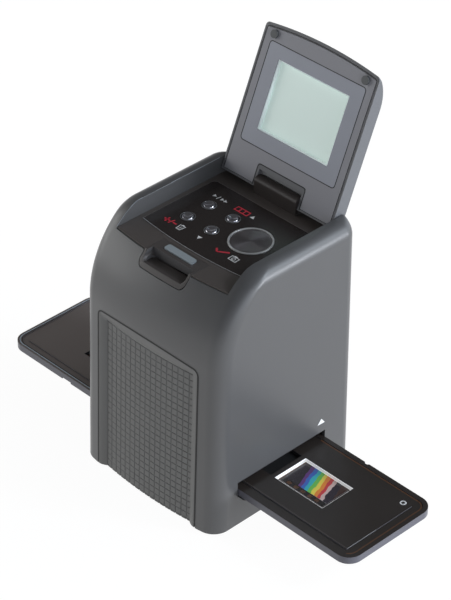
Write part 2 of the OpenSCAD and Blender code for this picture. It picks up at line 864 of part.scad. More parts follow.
module backlight_board() color("#1f5a36") {
    difference() {
        block(60, 38, board_t, 0, 0, lamp_z);
        for (x = [-1, 1], y = [-1, 1])
            rod(stake_d + 2 * screw_gap, 10, x * lamp_post[0], y * lamp_post[1], lamp_z - 5);
    }
}

module backlight_leds() color("#f2efd8") {
    for (x = [-14, 0, 14], y = [-8, 8]) block(3.5, 2.8, 1.1, x, y, lamp_z + board_t);
}

module light_box() color("#e8e8e6") {
    low = lamp_z + board_t;
    difference() {
        block(46, 36, lamp_top - low, 0, 0, low);
        block(42, 32, 40, 0, 0, low - 1);
        block(44, 34, 10, 0, 0, lamp_top - 1.6);
    }
}

module light_diffuser() color("#fafafa") {
    block(43.8, 33.8, 1.6, 0, 0, lamp_top - 1.6);
}

// Camera above the film
sensor_z = board_z - 12;
lens_z = sensor_z - 24;
bracket_t = 3;
bracket_bore = 16;
sensor_post = 15;

module light_baffle() color("#1a1a1b") {
    top = lens_z - bracket_t;
    difference() {
        union() {
            block(44, 34, top - upper_top, 0, 0, upper_top);
            block(58, 46, 1.6, 0, 0, upper_top);
            block(58, 46, 1.6, 0, 0, top - 1.6);
        }
        block(40.8, 30.8, top - upper_top + 2, 0, 0, upper_top - 1);
    }
}

module lens_bracket() color("#1a1a1b") {
    difference() {
        block(58, 46, bracket_t, 0, 0, lens_z - bracket_t);
        rod(bracket_bore + 0.1, 10, 0, 0, lens_z - 8);
    }
}

module lens_barrel() color("#202022") {
    low = lens_z - 9;
    difference() {
        union() {
            rod(bracket_bore, 22, 0, 0, low);
            rod(bracket_bore + 4, 1.5, 0, 0, lens_z);
        }
        rod(10.4, 30, 0, 0, low - 4);
        rod(12, 4, 0, 0, low - 1);
        rod(12, 9, 0, 0, low + 14);
        rod(13.6, 9, 0, 0, low + 18);
    }
}

module lens(d, r, t) {
    intersection() {
        cylinder(d = d, h = t);
        translate([0, 0, t - r]) sphere(r, $fn = 96);
        translate([0, 0, r]) sphere(r, $fn = 96);
    }
}

module lens_elements() color("#cfe3ea") {
    low = lens_z - 9;
    translate([0, 0, low + 0.2]) lens(11.9, 16, 2.8);
    translate([0, 0, low + 14]) lens(11.9, 18, 2.6);
    translate([0, 0, low + 18]) lens(13.5, 20, 2.8);
}

module sensor_posts() color("#b08a4a") {
    for (x = [-1, 1], y = [-1, 1]) {
        rod(5, sensor_z - lens_z, x * sensor_post, y * sensor_post, lens_z);
        rod(stake_d, board_t + 0.6, x * sensor_post, y * sensor_post, sensor_z - eps);
    }
}

module sensor_board() color("#1f5a36") {
    difference() {
        block(37, 37, board_t, 0, 0, sensor_z);
        for (x = [-1, 1], y = [-1, 1])
            rod(stake_d + 2 * screw_gap, 10, x * sensor_post, y * sensor_post, sensor_z - 5);
    }
}

module image_sensor() color("#3b4b5c") {
    block(14, 12, 1.6, 0, 0, sensor_z - 1.6);
}

// Main board with the rear connectors
module main_board() color("#1f5a36") {
    front = -24;
    difference() {
        block(2 * (half_w - wall - 3.4), inner_rear - 0.8 - front, board_t, 0,
            (inner_rear - 0.8 + front) / 2, board_z);
        for (x = [-1, 1], y = board_hole_y) rod(2.3, 10, x * board_hole_x, y, board_z - 5);
    }
}

module main_screws() color("#8c8e92") {
    for (x = [-1, 1], y = board_hole_y)
        translate([x * board_hole_x, y, port_z + 1.2]) rotate([180, 0, 0]) screw(2, 4.4, 3.8, 1.2);
}

module board_chips() color("#1b1b1d") {
    block(14, 14, 1.4, -6, -8, port_z);
    block(10, 10, 1.2, 14, -10, port_z);
    block(8, 12, 1.2, -24, -6, port_z);
    for (x = [26, 34]) rod(6, 7, x, -6, port_z);
}

module card_socket() color("#b9bbbe") {
    depth = 28;
    difference() {
        block(28, depth, 3.2, card_x, inner_rear - depth / 2, port_z);
        block(24.4, depth, 2.2, card_x, inner_rear - depth / 2 + 1.5, port_z + 0.5);
    }
}

module usb_socket() color("#c4c6c9") {
    difference() {
        block(7.7, 9, 4, usb_x, inner_rear - 4.5, port_z);
        block(6.7, 7.5, 3, usb_x, inner_rear - 3.6, port_z + 0.5);
    }
    block(4.4, 6.5, 0.8, usb_x, inner_rear - 4.8, port_z + 1.6);
}

module av_jack() color("#1b1b1d") {
    difference() {
        union() {
            block(9, 11, 6, jack_x, inner_rear - 6.5, port_z);
            translate([jack_x, inner_rear, port_z + 3]) rotate([90, 0, 0]) cylinder(d = 5.8, h = 3);
        }
        translate([jack_x, inner_rear + 1, port_z + 3]) rotate([90, 0, 0]) cylinder(d = 3.6, h = 10);
    }
}

// Display lid, drawn upright: x across, y into the lid, z up from its lower edge
lid_half = gap_half - 0.7;
lid_parting = 1.3;
parting_gap = 0.25;
lid_curve_r = 22.9;
bezel_t = 1.6;
window_gap = 0.3;
window_low = 19.9;
lid_rim = 1.2;
lcd_mid = 48.2;
window_t = 1.2;
gasket_t = 0.5;
gasket_gap = 0.05;
lcd_depth = 2.7;
bumper_d = 4.7;
bumper_at = [lid_half - 8.1, lid_len - 7.3];
collar_half = 17.5;
collar_top = 12.4;
notch_top = 9.7;
notch_r = 6.3;

module lid_place() {
    translate([0, hinge_y, hinge_z]) rotate([-lid_lean, 0, 0])
        translate([0, -hinge_in, -hinge_up]) children();
}

// Something drawn in the lid's front view, from depth y0 to depth y1
module lid_layer(y0, y1) {
    translate([0, y1, 0]) rotate([90, 0, 0]) linear_extrude(y1 - y0) children();
}

module lid_face(m, tip = 0) {
    arched(lid_half - m, m, lid_len - m - tip, bow_r, max(1, 2.6 - m / 2));
}

// The lid's back curves forward to the tip
module lid_back_curve() {
    reach = sqrt(pow(lid_curve_r, 2) - pow(lid_curve_r - lid_t, 2));
    translate([0, 0, lid_len - bow_r]) rotate([90, 0, 0]) mirror([0, 0, 1])
        rotate_extrude($fn = 360) intersection() {
            translate([bow_r - lid_len - 20, 0]) square([lid_len + 40, lid_t]);
            union() {
                translate([bow_r - lid_len - 20, 0]) square([lid_len + 20 - reach, lid_t]);
                translate([bow_r - reach, lid_t - lid_curve_r]) circle(lid_curve_r, $fn = 96);
            }
        }
}

module lid_back_shell() color("#45474a") {
    lid_place() difference() {
        intersection() {
            lid_layer(0, lid_t) lid_face(0);
            lid_back_curve();
        }
        // Seat of the bezel
        lid_layer(-1, bezel_t) difference() {
            lid_face(lid_parting - parting_gap, lid_rim);
            translate([parting_gap - collar_half, -1])
                square([2 * (collar_half - parting_gap), collar_top + 1 - parting_gap]);
        }
        // Space for the display
        lid_layer(bezel_t - 1, lid_t - 1.6) translate([-lid_half + 3.6, 14.5])
            square([2 * lid_half - 7.2, lid_len - 30]);
        // Notch round the hinge block
        lid_layer(-1, bezel_t) translate([-notch_half, -1]) square([2 * notch_half, notch_top + 1]);
        translate([-notch_half, hinge_in, hinge_up]) rotate([0, 90, 0])
            cylinder(r = notch_r, h = 2 * notch_half);
        translate([-ear_out, hinge_in, hinge_up]) rotate([0, 90, 0])
            cylinder(d = pin_d, h = 2 * ear_out);
        for (x = [-1, 1]) translate([x * bumper_at[0], bezel_t - 1, bumper_at[1]])
            rotate([-90, 0, 0]) cylinder(d = 2 + 2 * screw_gap, h = 3);
    }
}

module lid_bezel() color("#6b6d70") {
    lid_place() difference() {
        lid_layer(0, bezel_t) difference() {
            lid_face(lid_parting, lid_rim);
            translate([-collar_half, -1]) square([2 * collar_half, collar_top + 1]);
            translate([0, window_low + window_h / 2])
                round_rect(window_w + 2 * window_gap, window_h + 2 * window_gap, 2);
        }
        for (x = [-1, 1]) translate([x * bumper_at[0], 0, bumper_at[1]]) rotate([-90, 0, 0]) {
            translate([0, 0, -1]) cylinder(d = 4.3, h = 1.9);
            translate([0, 0, -1]) cylinder(d = 2.4, h = 5);
        }
    }
}

module screen_window() color("#4a4855") {
    lid_place() lid_layer(0, window_t) difference() {
        translate([0, window_low + window_h / 2]) round_rect(window_w, window_h, 1.9);
        display_rect(gasket_t + gasket_gap);
    }
}

// The visible part of the display, larger by m
module display_rect(m) {
    translate([0, lcd_mid]) square([lcd_w + 2 * m, lcd_h + 2 * m], center = true);
}

module screen_gasket() color("#dfe6e4") {
    lid_place() lid_layer(0.3, lcd_depth) difference() {
        display_rect(gasket_t);
        display_rect(0);
    }
}

module lcd_panel() color("#d6e4dc") {
    lid_place() translate([0, lcd_depth + 1.1, lcd_mid - lcd_h / 2 - 2.5])
        block(lcd_w + 6, 2.2, lcd_h + 5);
}

module lcd_board() color("#1f5a36") {
    lid_place() translate([0, lcd_depth + 2.2 + 0.5, lcd_mid - lcd_h / 2 - 3])
        block(lcd_w + 12, 1, lcd_h + 6);
}

module lid_bumpers() color("#57595b") {
    lid_place() for (x = [-1, 1]) translate([x * bumper_at[0], 0, bumper_at[1]])
        rotate([-90, 0, 0]) {
            translate([0, 0, -1.4]) cylinder(d = bumper_d, h = 1.4);
            cylinder(d = 4, h = 0.3);
        }
}

module lid_screws() color("#8c8e92") {
    lid_place() for (x = [-1, 1]) translate([x * bumper_at[0], 0.4, bumper_at[1]])
        rotate([-90, 0, 0]) screw(2, 2.6, 3.8, 0.5);
}

main_shell();
grip_panel();
rear_cover();
base_plate();
rubber_feet();
base_screws();
rear_screws();
control_deck();
deck_screws();
control_fascia();
finger_pocket();
key_rings();
ok_ring();
button_board();
board_screws();
tact_switches();
hinge_block();
hinge_bushes();
hinge_screws();
lower_guide();
upper_guide();
guide_screws();
detent_spring();
backlight_board();
backlight_leds();
light_box();
light_diffuser();
light_baffle();
lens_bracket();
lens_barrel();
lens_elements();
sensor_posts();
sensor_board();
image_sensor();
main_board();
board_chips();
main_screws();
card_socket();
usb_socket();
av_jack();
lid_back_shell();
lid_bezel();
screen_window();
screen_gasket();
lcd_panel();
lcd_board();
lid_bumpers();
lid_screws();
hinge_pin();
play_button();
type_button();
exposure_button();
down_button();
ok_button();
power_button();
holder_base();
holder_cover();
cover_pins();
film_strip();
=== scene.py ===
import math

import bmesh
import bpy
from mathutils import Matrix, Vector


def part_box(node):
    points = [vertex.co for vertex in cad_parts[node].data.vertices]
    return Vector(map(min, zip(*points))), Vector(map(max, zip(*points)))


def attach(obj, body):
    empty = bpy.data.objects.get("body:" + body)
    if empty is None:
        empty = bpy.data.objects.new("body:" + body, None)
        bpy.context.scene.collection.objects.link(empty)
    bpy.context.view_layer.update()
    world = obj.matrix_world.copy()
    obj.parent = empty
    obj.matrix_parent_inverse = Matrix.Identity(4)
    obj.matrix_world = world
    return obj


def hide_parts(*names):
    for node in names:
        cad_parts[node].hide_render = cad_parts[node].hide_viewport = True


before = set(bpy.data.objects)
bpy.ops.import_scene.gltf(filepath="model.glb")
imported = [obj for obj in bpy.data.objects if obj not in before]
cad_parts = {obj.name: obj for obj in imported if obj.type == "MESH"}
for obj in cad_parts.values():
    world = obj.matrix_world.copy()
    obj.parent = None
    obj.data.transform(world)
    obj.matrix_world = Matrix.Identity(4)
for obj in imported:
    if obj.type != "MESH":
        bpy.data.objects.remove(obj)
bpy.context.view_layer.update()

MM = 0.001
scene = bpy.context.scene


class Span:
    """A CAD node's sides in millimetres: x0 to x1, y0 to y1 and z0 to z1."""
    def __init__(self, node):
        lo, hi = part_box(node)
        self.x0, self.y0, self.z0 = [c / MM for c in lo]
        self.x1, self.y1, self.z1 = [c / MM for c in hi]


# ---------------------------------------------------------------- sizes, in millimetres
# Outer sizes and places of the CAD nodes; x is across, y is to the rear, z is up
MAIN = Span("main_shell")
FOOT = MAIN.z0
HALF = MAIN.x1
REAR = MAIN.y1
TOP = MAIN.z1
DECK = Span("control_deck").z1
GAP = Span("control_deck").x1 + 0.15
GRIP = Span("grip_panel")
PLATE = Span("control_fascia")
HOLDER = Span("holder_base")
COVER = Span("holder_cover")
FILM_TOP = Span("film_strip").z1

# The shell's form: where its front is at the foot, and how that leans, bows and curves back
FRONT = -53.8
LEAN = math.radians(2.07)
BOW = 283.0
CORNER = 10.3
REAR_CORNER = 7.0
WALL = 2.4
# The front leans up to the bend, then follows the nose's curve and the tighter one of the brow
BEND = TOP - 48.6
NOSE = 56.7
BROW = math.radians(60)
BEND_Y = FRONT + (BEND - FOOT) * math.tan(LEAN)
NOSE_Y = BEND_Y + NOSE * math.cos(LEAN)
NOSE_Z = BEND - NOSE * math.sin(LEAN)
BROW_R = (TOP - NOSE_Z - NOSE * math.sin(BROW)) / (1 - math.sin(BROW))
BROW_Y = NOSE_Y - (NOSE - BROW_R) * math.cos(BROW)
BROW_Z = NOSE_Z + (NOSE - BROW_R) * math.sin(BROW)
# Radius of the cheeks' outer edges, and the height at which that rounding starts
ROUND = 7.8
ROUND_Z = TOP - ROUND

# Grip panel: arched top, and a sunk field of blocks with grooves a pitch apart
GRIP_CORNER = 3.6
GRIP_ARCH = 250.0
RIM = 0.4
FIELD_HALF = 32.5
FIELD_TOP = FOOT + 96.2
FIELD_DEEP = 2.4
PITCH = 3.94
GROOVE_HALF = 0.45
GROOVE_X = -28.7
GROOVE_Z = FOOT + 95.8
GROOVE_X_DEEP = 0.5
GROOVE_Z_DEEP = 0.42

# Finger pocket: half its width without the ears at its sides, how far it hangs below the deck,
# and the back of its scoop
POCKET_HALF = Span("finger_pocket").x1 - 2.6
POCKET_DROP = 7.2
POCKET_CORNER = 3.6
SCOOP_BACK = -28.4

# Display lid: hinge axis, and how far the open lid leans back
PIN = Span("hinge_pin")
HINGE_Y = (PIN.y0 + PIN.y1) / 2
HINGE_Z = (PIN.z0 + PIN.z1) / 2
LID_LEAN = math.radians(23.7)

# Film windows in the holder, a film frame's pitch apart; the one that crosses the right wall is covered
# with a sheet of painted shade
WINDOW_X = 35.2
WINDOW_Y = 23.4
WINDOWS = [-76, -38, 0, 38, 76]
SHADED_WINDOW = 38


# ---------------------------------------------------------------- camera
def stand(obj, aim, azimuth, height, distance):
    """Puts a camera or lamp at a distance from its aim, facing it.

    Lengths are in millimetres and angles in degrees; azimuth goes from +X towards +Y."""
    a = math.radians(azimuth)
    h = math.radians(height)
    way = Vector((math.cos(a) * math.cos(h), math.sin(a) * math.cos(h), math.sin(h)))
    obj.location = (Vector(aim) + way * distance) * MM
    obj.rotation_euler = (-way).to_track_quat("-Z", "Y").to_euler()
    scene.collection.objects.link(obj)


cam = bpy.data.objects.new("camera", bpy.data.cameras.new("camera"))
cam.data.lens = 158.59
cam.data.sensor_width = 36.0
cam.data.clip_start = 0.05
cam.data.clip_end = 20
stand(cam, aim=(-0.75, 9.15, 99.68), azimuth=-43.888, height=35.5, distance=1400)
scene.camera = cam


# ---------------------------------------------------------------- materials
def srgb(*rgb):
    """A colour written as 0 to 255, in the linear values that shaders take."""
    return [((c / 255 + 0.055) / 1.055) ** 2.4 if c > 10 else c / 255 / 12.92 for c in rgb] + [1.0]


def node_of(tree, kind, **values):
    """Adds a shader node and sets its properties."""
    made = tree.nodes.new(kind)
    for key, value in values.items():
        setattr(made, key, value)
    return made


def noise(tree, scale, detail, source):
    made = node_of(tree, "ShaderNodeTexNoise")
    made.inputs["Scale"].default_value = scale
    made.inputs["Detail"].default_value = detail
    tree.links.new(source, made.inputs["Vector"])
    return made.outputs["Fac"]


def math_node(tree, operation, *values):
    """A math node whose inputs are numbers or sockets."""
    made = node_of(tree, "ShaderNodeMath", operation=operation)
    for socket, value in zip(made.inputs, values):
        if isinstance(value, (int, float)):
            socket.default_value = value
        else:
            tree.links.new(value, socket)
    return made.outputs[0]


def map_range(tree, value, low, high, **values):
    """0 where the value is at low and 1 where it is at high."""
    made = node_of(tree, "ShaderNodeMapRange", **values)
    made.inputs["From Min"].default_value = low
    made.inputs["From Max"].default_value = high
    tree.links.new(value, made.inputs["Value"])
    return made.outputs["Result"]


def mix_colours(tree, share, a, b):
    """Colour a where the share is 0 and b where it is 1; each is a colour or a socket."""
    made = node_of(tree, "ShaderNodeMix", data_type="RGBA")
    for key, colour in (("A", a), ("B", b)):
        if isinstance(colour, (list, tuple)):
            made.inputs[key].default_value = colour
        else:
            tree.links.new(colour, made.inputs[key])
    tree.links.new(share, made.inputs["Factor"])
    return made.outputs["Result"]


def separate(tree, vector):
    parts = node_of(tree, "ShaderNodeSeparateXYZ")
    tree.links.new(vector, parts.inputs["Vector"])
    return parts.outputs


def material(name, rgb, rough=0.5, vary=0.08, patch=45, grain=2600, bump=0.2, depth=0.00004,
             rough_vary=0.06, streak=None, radial=False, **sockets):
    """A procedural material: mottled colour, uneven roughness and a fine grain."""
    m = bpy.data.materials.new(name)
    m.use_nodes = True
    tree = m.node_tree
    link = tree.links.new
    shader = tree.nodes["Principled BSDF"]
    place = node_of(tree, "ShaderNodeTexCoord").outputs["Object"]
    source = place
    if streak:
        mapping = node_of(tree, "ShaderNodeMapping")
        mapping.inputs["Scale"].default_value = streak
        link(place, mapping.inputs["Vector"])
        source = mapping.outputs["Vector"]
    large = noise(tree, patch, 6, place)
    fine = noise(tree, grain, 3, source)

    base = srgb(*rgb)[:3]
    darker = [c * (1 - vary) for c in base] + [1]
    lighter = [min(1, c * (1 + vary)) for c in base] + [1]
    half = math_node(tree, "MULTIPLY_ADD", large, 0.5, 0.25)
    mottle = math_node(tree, "MULTIPLY_ADD", fine, 0.5, half)
    link(mix_colours(tree, mottle, darker, lighter), shader.inputs["Base Color"])

    ranged = node_of(tree, "ShaderNodeMapRange")
    ranged.inputs["To Min"].default_value = max(0.02, rough - rough_vary)
    ranged.inputs["To Max"].default_value = min(1, rough + rough_vary)
    link(large, ranged.inputs["Value"])
    link(ranged.outputs["Result"], shader.inputs["Roughness"])
    if bump:
        raised = node_of(tree, "ShaderNodeBump")
        raised.inputs["Strength"].default_value = bump
        raised.inputs["Distance"].default_value = depth
        link(fine, raised.inputs["Height"])
        link(raised.outputs["Normal"], shader.inputs["Normal"])
    if radial:
        turned = node_of(tree, "ShaderNodeTangent", direction_type="RADIAL", axis="Z")
        link(turned.outputs["Tangent"], shader.inputs["Tangent"])
    for key, value in sockets.items():
        shader.inputs[key.replace("_", " ")].default_value = value
    return m


def painted_light_end(m, rgb):
    """Painted light: the colour turns into this lighter one from 30 mm right of the middle to 90 mm left
    of it, where the light from the left falls on it unshaded by the housing.
    """
    tree = m.node_tree
    colour = tree.nodes["Principled BSDF"].inputs["Base Color"]
    plain = colour.links[0].from_socket
    place = node_of(tree, "ShaderNodeTexCoord").outputs["Object"]
    share = map_range(tree, separate(tree, place)["X"], 0.03, -0.09)
    tree.links.new(mix_colours(tree, share, plain, srgb(*rgb)), colour)


def painted_side_light(m, rgb):
    """Painted light: the faces that stand upright take this lighter colour, as the low side lamps fall
    on them; the level ones keep theirs.
    """
    tree = m.node_tree
    colour = tree.nodes["Principled BSDF"].inputs["Base Color"]
    plain = colour.links[0].from_socket
    normal = node_of(tree, "ShaderNodeTexCoord").outputs["Normal"]
    level = math_node(tree, "ABSOLUTE", separate(tree, normal)["Z"])
    share = math_node(tree, "POWER", level, 0.5)
    tree.links.new(mix_colours(tree, share, srgb(*rgb), plain), colour)


PICTURE_BARS = [
    (0.00, (34, 25, 33)), (0.25, (96, 52, 120)), (0.31, (60, 104, 190)), (0.38, (52, 178, 190)),
    (0.45, (112, 196, 84)), (0.52, (240, 222, 84)), (0.59, (240, 142, 56)), (0.66, (214, 62, 66)),
    (0.72, (228, 196, 190)), (0.78, (44, 30, 44)), (0.90, (70, 42, 34)),
]


def picture_material(name):
    """A film frame: slanted, wavy bars of colour on a dark ground."""
    m = material(name, (30, 22, 30), 0.25, vary=0.1, bump=0.03, Coat_Weight=0.4, Coat_Roughness=0.1)
    tree = m.node_tree
    place = node_of(tree, "ShaderNodeTexCoord").outputs["Object"]
    parts = separate(tree, place)
    slanted = math_node(tree, "MULTIPLY_ADD", parts["Y"], 0.35, parts["X"])
    wave = math_node(tree, "MULTIPLY_ADD", noise(tree, 160, 2, place), 0.003, slanted)
    along = math_node(tree, "MULTIPLY_ADD", wave, 1 / 0.034, 0.45)
    bars = node_of(tree, "ShaderNodeValToRGB")
    bars.color_ramp.interpolation = "CONSTANT"
    while len(bars.color_ramp.elements) < len(PICTURE_BARS):
        bars.color_ramp.elements.new(0.5)
    for element, (at, rgb) in zip(bars.color_ramp.elements, PICTURE_BARS):
        element.position = at
        element.color = srgb(*rgb)
    tree.links.new(along, bars.inputs["Fac"])
    tree.links.new(bars.outputs["Color"], tree.nodes["Principled BSDF"].inputs["Base Color"])
    return m


# Each look's material; looks are named in the tables and calls below
M = {
    "shell": material("moulded_shell", (74, 74, 75), 0.36, grain=3200, bump=0.2,
                      Specular_IOR_Level=0.7),
    "grip": material("moulded_grip", (90, 90, 89), 0.5, grain=3200, bump=0.2,
                     Specular_IOR_Level=0.7),
    "cover": material("moulded_cover", (70, 71, 73), 0.52),
    "lid": material("moulded_lid", (97, 98, 101), 0.45, bump=0.15),
    "bezel": material("moulded_bezel", (140, 140, 146), 0.42, bump=0.15),
    "deck": material("moulded_deck", (76, 70, 67), 0.42, bump=0.12),
    "hinge": material("hinge_moulding", (56, 51, 49), 0.42, bump=0.12),
    "pocket": material("moulded_pocket", (68, 63, 61), 0.42, bump=0.15),
    "gloss": material("gloss_black", (36, 29, 27), 0.26, vary=0.12, bump=0, rough_vary=0.03),
    "holder": material("holder_black", (46, 41, 38), 0.34, vary=0.12, bump=0.06, rough_vary=0.05),
    "chrome": material("bright_trim", (190, 190, 190), 0.34, vary=0.03, bump=0, Metallic=0.45),
    "key_ring": material("key_ring", (120, 120, 122), 0.3, vary=0.03, bump=0, Metallic=0.7),
    "cap": material("key_cap", (176, 176, 184), 0.09, vary=0.1, patch=240, bump=0.03, Metallic=1.0),
    "disc": material("brushed_disc", (122, 118, 120), 0.36, vary=0.2, grain=1500, bump=0.15,
                     depth=0.00002, radial=True, Metallic=0.9, Anisotropic=0.9),
    "bar": material("satin_bar", (176, 186, 192), 0.3, vary=0.06, streak=(0.05, 1, 1),
                    grain=2000, bump=0.15, Metallic=0.5),
    "window": material("window_border", (152, 155, 165), 0.35, bump=0.05),
    "screen": material("screen", (212, 228, 222), 0.5, vary=0.04, patch=25, grain=5200,
                       bump=0.04, Emission_Color=(0.75, 0.9, 0.84, 1), Emission_Strength=0.21),
    # Painted light: the gasket glows a little, so its walls look lit
    "gasket": material("display_gasket_painted_glow", (236, 246, 246), 0.45, vary=0.04, bump=0.05,
                       Emission_Color=(0.9, 1, 1, 1), Emission_Strength=0.1),
    "rubber": material("rubber", (38, 38, 39), 0.75, vary=0.15, bump=0.4),
    "bumper": material("soft_bumper", (90, 92, 93), 0.6, vary=0.08, bump=0.2),
    "steel": material("steel", (170, 172, 176), 0.32, vary=0.08, streak=(1, 1, 0.1), grain=3000,
                      bump=0.1, Metallic=1.0),
    "brass": material("brass", (190, 160, 100), 0.32, vary=0.1, Metallic=1.0, bump=0.1),
    "board": material("solder_mask", (32, 92, 56), 0.35, vary=0.2, grain=900),
    "chip": material("black_component", (36, 36, 38), 0.5, vary=0.1),
    "inner": material("black_moulding", (34, 34, 35), 0.6, vary=0.12),
    "white": material("white_moulding", (226, 226, 222), 0.5, vary=0.03),
    # Painted light: a white glow that makes a frame look brightly lit
    "lit": material("painted_glow_frame", (238, 240, 240), 0.5, vary=0.02, bump=0.03,
                    Emission_Color=(1, 1, 1, 1), Emission_Strength=0.35),
    "edge_grey": material("frame_edge", (120, 118, 118), 0.4, vary=0.05, bump=0.03),
    "film": material("film_base", (92, 62, 44), 0.25, vary=0.1, bump=0.04, Transmission_Weight=0.2),
    "picture": picture_material("film_picture"),
    "lens": material("lens_glass", (225, 240, 245), 0.04, vary=0.02, bump=0,
                     Transmission_Weight=0.9, IOR=1.5),
    "print": material("white_print", (224, 224, 224), 0.5, vary=0.03, bump=0.05),
    "red": material("red_print", (200, 44, 62), 0.45, vary=0.08, bump=0.05),
    # Painted reflection: a warm line where the channel reflects its surroundings
    "warm_reflection": material("painted_warm_reflection", (100, 70, 50), 0.35, vary=0.1, bump=0.03),
    # Painted shade: dark strips laid where gaps and channels are in shade
    "gap": material("dark_gap", (14, 13, 14), 0.6, vary=0.1, bump=0),
    # Painted highlights: light lines laid along edges that catch the light
    "highlight": material("painted_edge_highlight", (196, 196, 198), 0.32, vary=0.05, bump=0.03, Metallic=0.6),
    # Painted highlight: a bluish light line along a rim's edge
    "blue_highlight": material("painted_blue_highlight", (200, 218, 232), 0.32, vary=0.05, bump=0.03, Metallic=0.4),
    # Painted highlight: a cool light line along the cheek's inner top edge
    "painted_cool_highlight": material("painted_cool_highlight", (142, 146, 154), 0.35, vary=0.05, bump=0.03),
    "faint_highlight": material("painted_faint_highlight", (112, 106, 104), 0.35, vary=0.05, bump=0.03, Metallic=0.3),
}
# Painted light: the holder's left end lighter, where light from the left falls on it
painted_light_end(M["holder"], (114, 106, 102))
# Painted light: the upright faces of the holder and the pocket lighter than their level faces
painted_side_light(M["holder"], (90, 90, 99))
painted_side_light(M["pocket"], (84, 83, 84))


# ---------------------------------------------------------------- looks of the CAD nodes
NODE_LOOK = {
    "shell": ["main_shell"],
    "grip": ["grip_panel"],
    "cover": ["rear_cover", "base_plate"],
    "lid": ["lid_back_shell"],
    "bezel": ["lid_bezel"],
    "deck": ["control_deck"],
    "hinge": ["hinge_block"],
    "pocket": ["finger_pocket"],
    "gloss": ["control_fascia"],
    "holder": ["holder_base", "holder_cover"],
    "chrome": ["ok_ring"],
    "key_ring": ["key_rings"],
    "cap": ["play_button", "type_button", "exposure_button", "down_button"],
    "disc": ["ok_button"],
    "bar": ["power_button"],
    "window": ["screen_window"],
    "screen": ["lcd_panel"],
    "gasket": ["screen_gasket"],
    "rubber": ["rubber_feet"],
    "bumper": ["lid_bumpers"],
    "steel": ["base_screws", "rear_screws", "deck_screws", "board_screws", "hinge_screws",
              "guide_screws", "main_screws", "lid_screws", "hinge_pin", "detent_spring",
              "cover_pins", "card_socket", "usb_socket"],
    "brass": ["hinge_bushes", "sensor_posts"],
    "board": ["button_board", "backlight_board", "sensor_board", "main_board", "lcd_board"],
    "chip": ["tact_switches", "board_chips", "av_jack", "image_sensor"],
    "inner": ["lower_guide", "upper_guide", "light_baffle", "lens_bracket", "lens_barrel"],
    "white": ["light_box", "backlight_leds", "light_diffuser"],
    "lens": ["lens_elements"],
    "film": ["film_strip"],
}
# Width of the rounding on the nodes' sharp edges, in millimetres; other nodes have none
BEVELS = {
    "control_deck": 0.2, "hinge_block": 0.5, "finger_pocket": 0.9, "control_fascia": 0.12,
    "holder_base": 0.3, "holder_cover": 0.2, "lid_back_shell": 0.6, "lid_bezel": 0.25,
    "screen_window": 0.15, "ok_ring": 0.2, "key_rings": 0.15, "power_button": 0.3,
    "lower_guide": 0.1, "rubber_feet": 0.3, "base_plate": 0.3, "lid_bumpers": 0.5,
    "ok_button": 0.08, "play_button": 0.08, "type_button": 0.08, "exposure_button": 0.08,
    "down_button": 0.08,
}
# The rear cover is flat with many holes and keeps the CAD's own normals
AS_PACKED = {"rear_cover"}


def soften(obj, width, angle=32):
    """Rounds the edges sharper than the angle a little and shades the rest smooth."""
    me = obj.data
    if "custom_normal" in me.attributes:
        me.attributes.remove(me.attributes["custom_normal"])
    me.polygons.foreach_set("use_smooth", [True] * len(me.polygons))
    weld = obj.modifiers.new("weld", "WELD")
    weld.merge_threshold = 1e-6
    if width:
        bevel = obj.modifiers.new("bevel", "BEVEL")
        bevel.width = width * MM
        bevel.segments = 2
        bevel.limit_method = "ANGLE"
        bevel.angle_limit = math.radians(angle)
        bevel.use_clamp_overlap = True
    normal = obj.modifiers.new("normals", "WEIGHTED_NORMAL")
    normal.weight = 80
    normal.keep_sharp = False


for look, names in NODE_LOOK.items():
    for name in names:
        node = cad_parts[name]
        node.data.materials.clear()
        node.data.materials.append(M[look])
        if name not in AS_PACKED:
            soften(node, BEVELS.get(name, 0))


# ---------------------------------------------------------------- mesh helpers
def link_mesh(name, verts, faces, look):
    """A new object from points in millimetres."""
    me = bpy.data.meshes.new(name)
    me.from_pydata([Vector(v) * MM for v in verts], [], faces)
    bm = bmesh.new()
    bm.from_mesh(me)
    bmesh.ops.recalc_face_normals(bm, faces=bm.faces)
    bm.to_mesh(me)
    bm.free()
    me.materials.append(M[look])
    obj = bpy.data.objects.new(name, me)
    scene.collection.objects.link(obj)
    return obj


def cut(obj, cutter):
    """Takes the cutter's form out of the object and removes the cutter."""
    mod = obj.modifiers.new("cut", "BOOLEAN")
    mod.operation = "DIFFERENCE"
    mod.object = cutter
    mod.solver = "EXACT"
    bpy.context.view_layer.update()
    depsgraph = bpy.context.evaluated_depsgraph_get()
    result = bpy.data.meshes.new_from_object(obj.evaluated_get(depsgraph))
    obj.modifiers.clear()
    obj.data = result
    bpy.data.objects.remove(cutter)


# Where an outline's u, v and the depth w lie: in plan, seen from the front, from the side
def plan_view(u, v, w):
    return u, v, w


def front_view(u, v, w):
    return u, w, v


def side_view(u, v, w):
    return w, u, v


def prism(name, edge, lo, hi, look, view=plan_view):
    """An outline drawn out from depth lo to hi."""
    n = len(edge)
    verts = [view(u, v, lo) for u, v in edge] + [view(u, v, hi) for u, v in edge]
    faces = [list(range(n))[::-1], list(range(n, 2 * n))]
    faces += [[i, (i + 1) % n, n + (i + 1) % n, n + i] for i in range(n)]
    return link_mesh(name, verts, faces, look)


def box_poly(x0, y0, x1, y1):
    """A rectangle's corners."""
    return [(x0, y0), (x1, y0), (x1, y1), (x0, y1)]


def arc(cx, cy, r, a0, a1, n=10):
    """Points on an arc in n steps; angles in degrees."""
    angles = [math.radians(a0 + (a1 - a0) * i / n) for i in range(n + 1)]
    return [(cx + r * math.cos(a), cy + r * math.sin(a)) for a in angles]


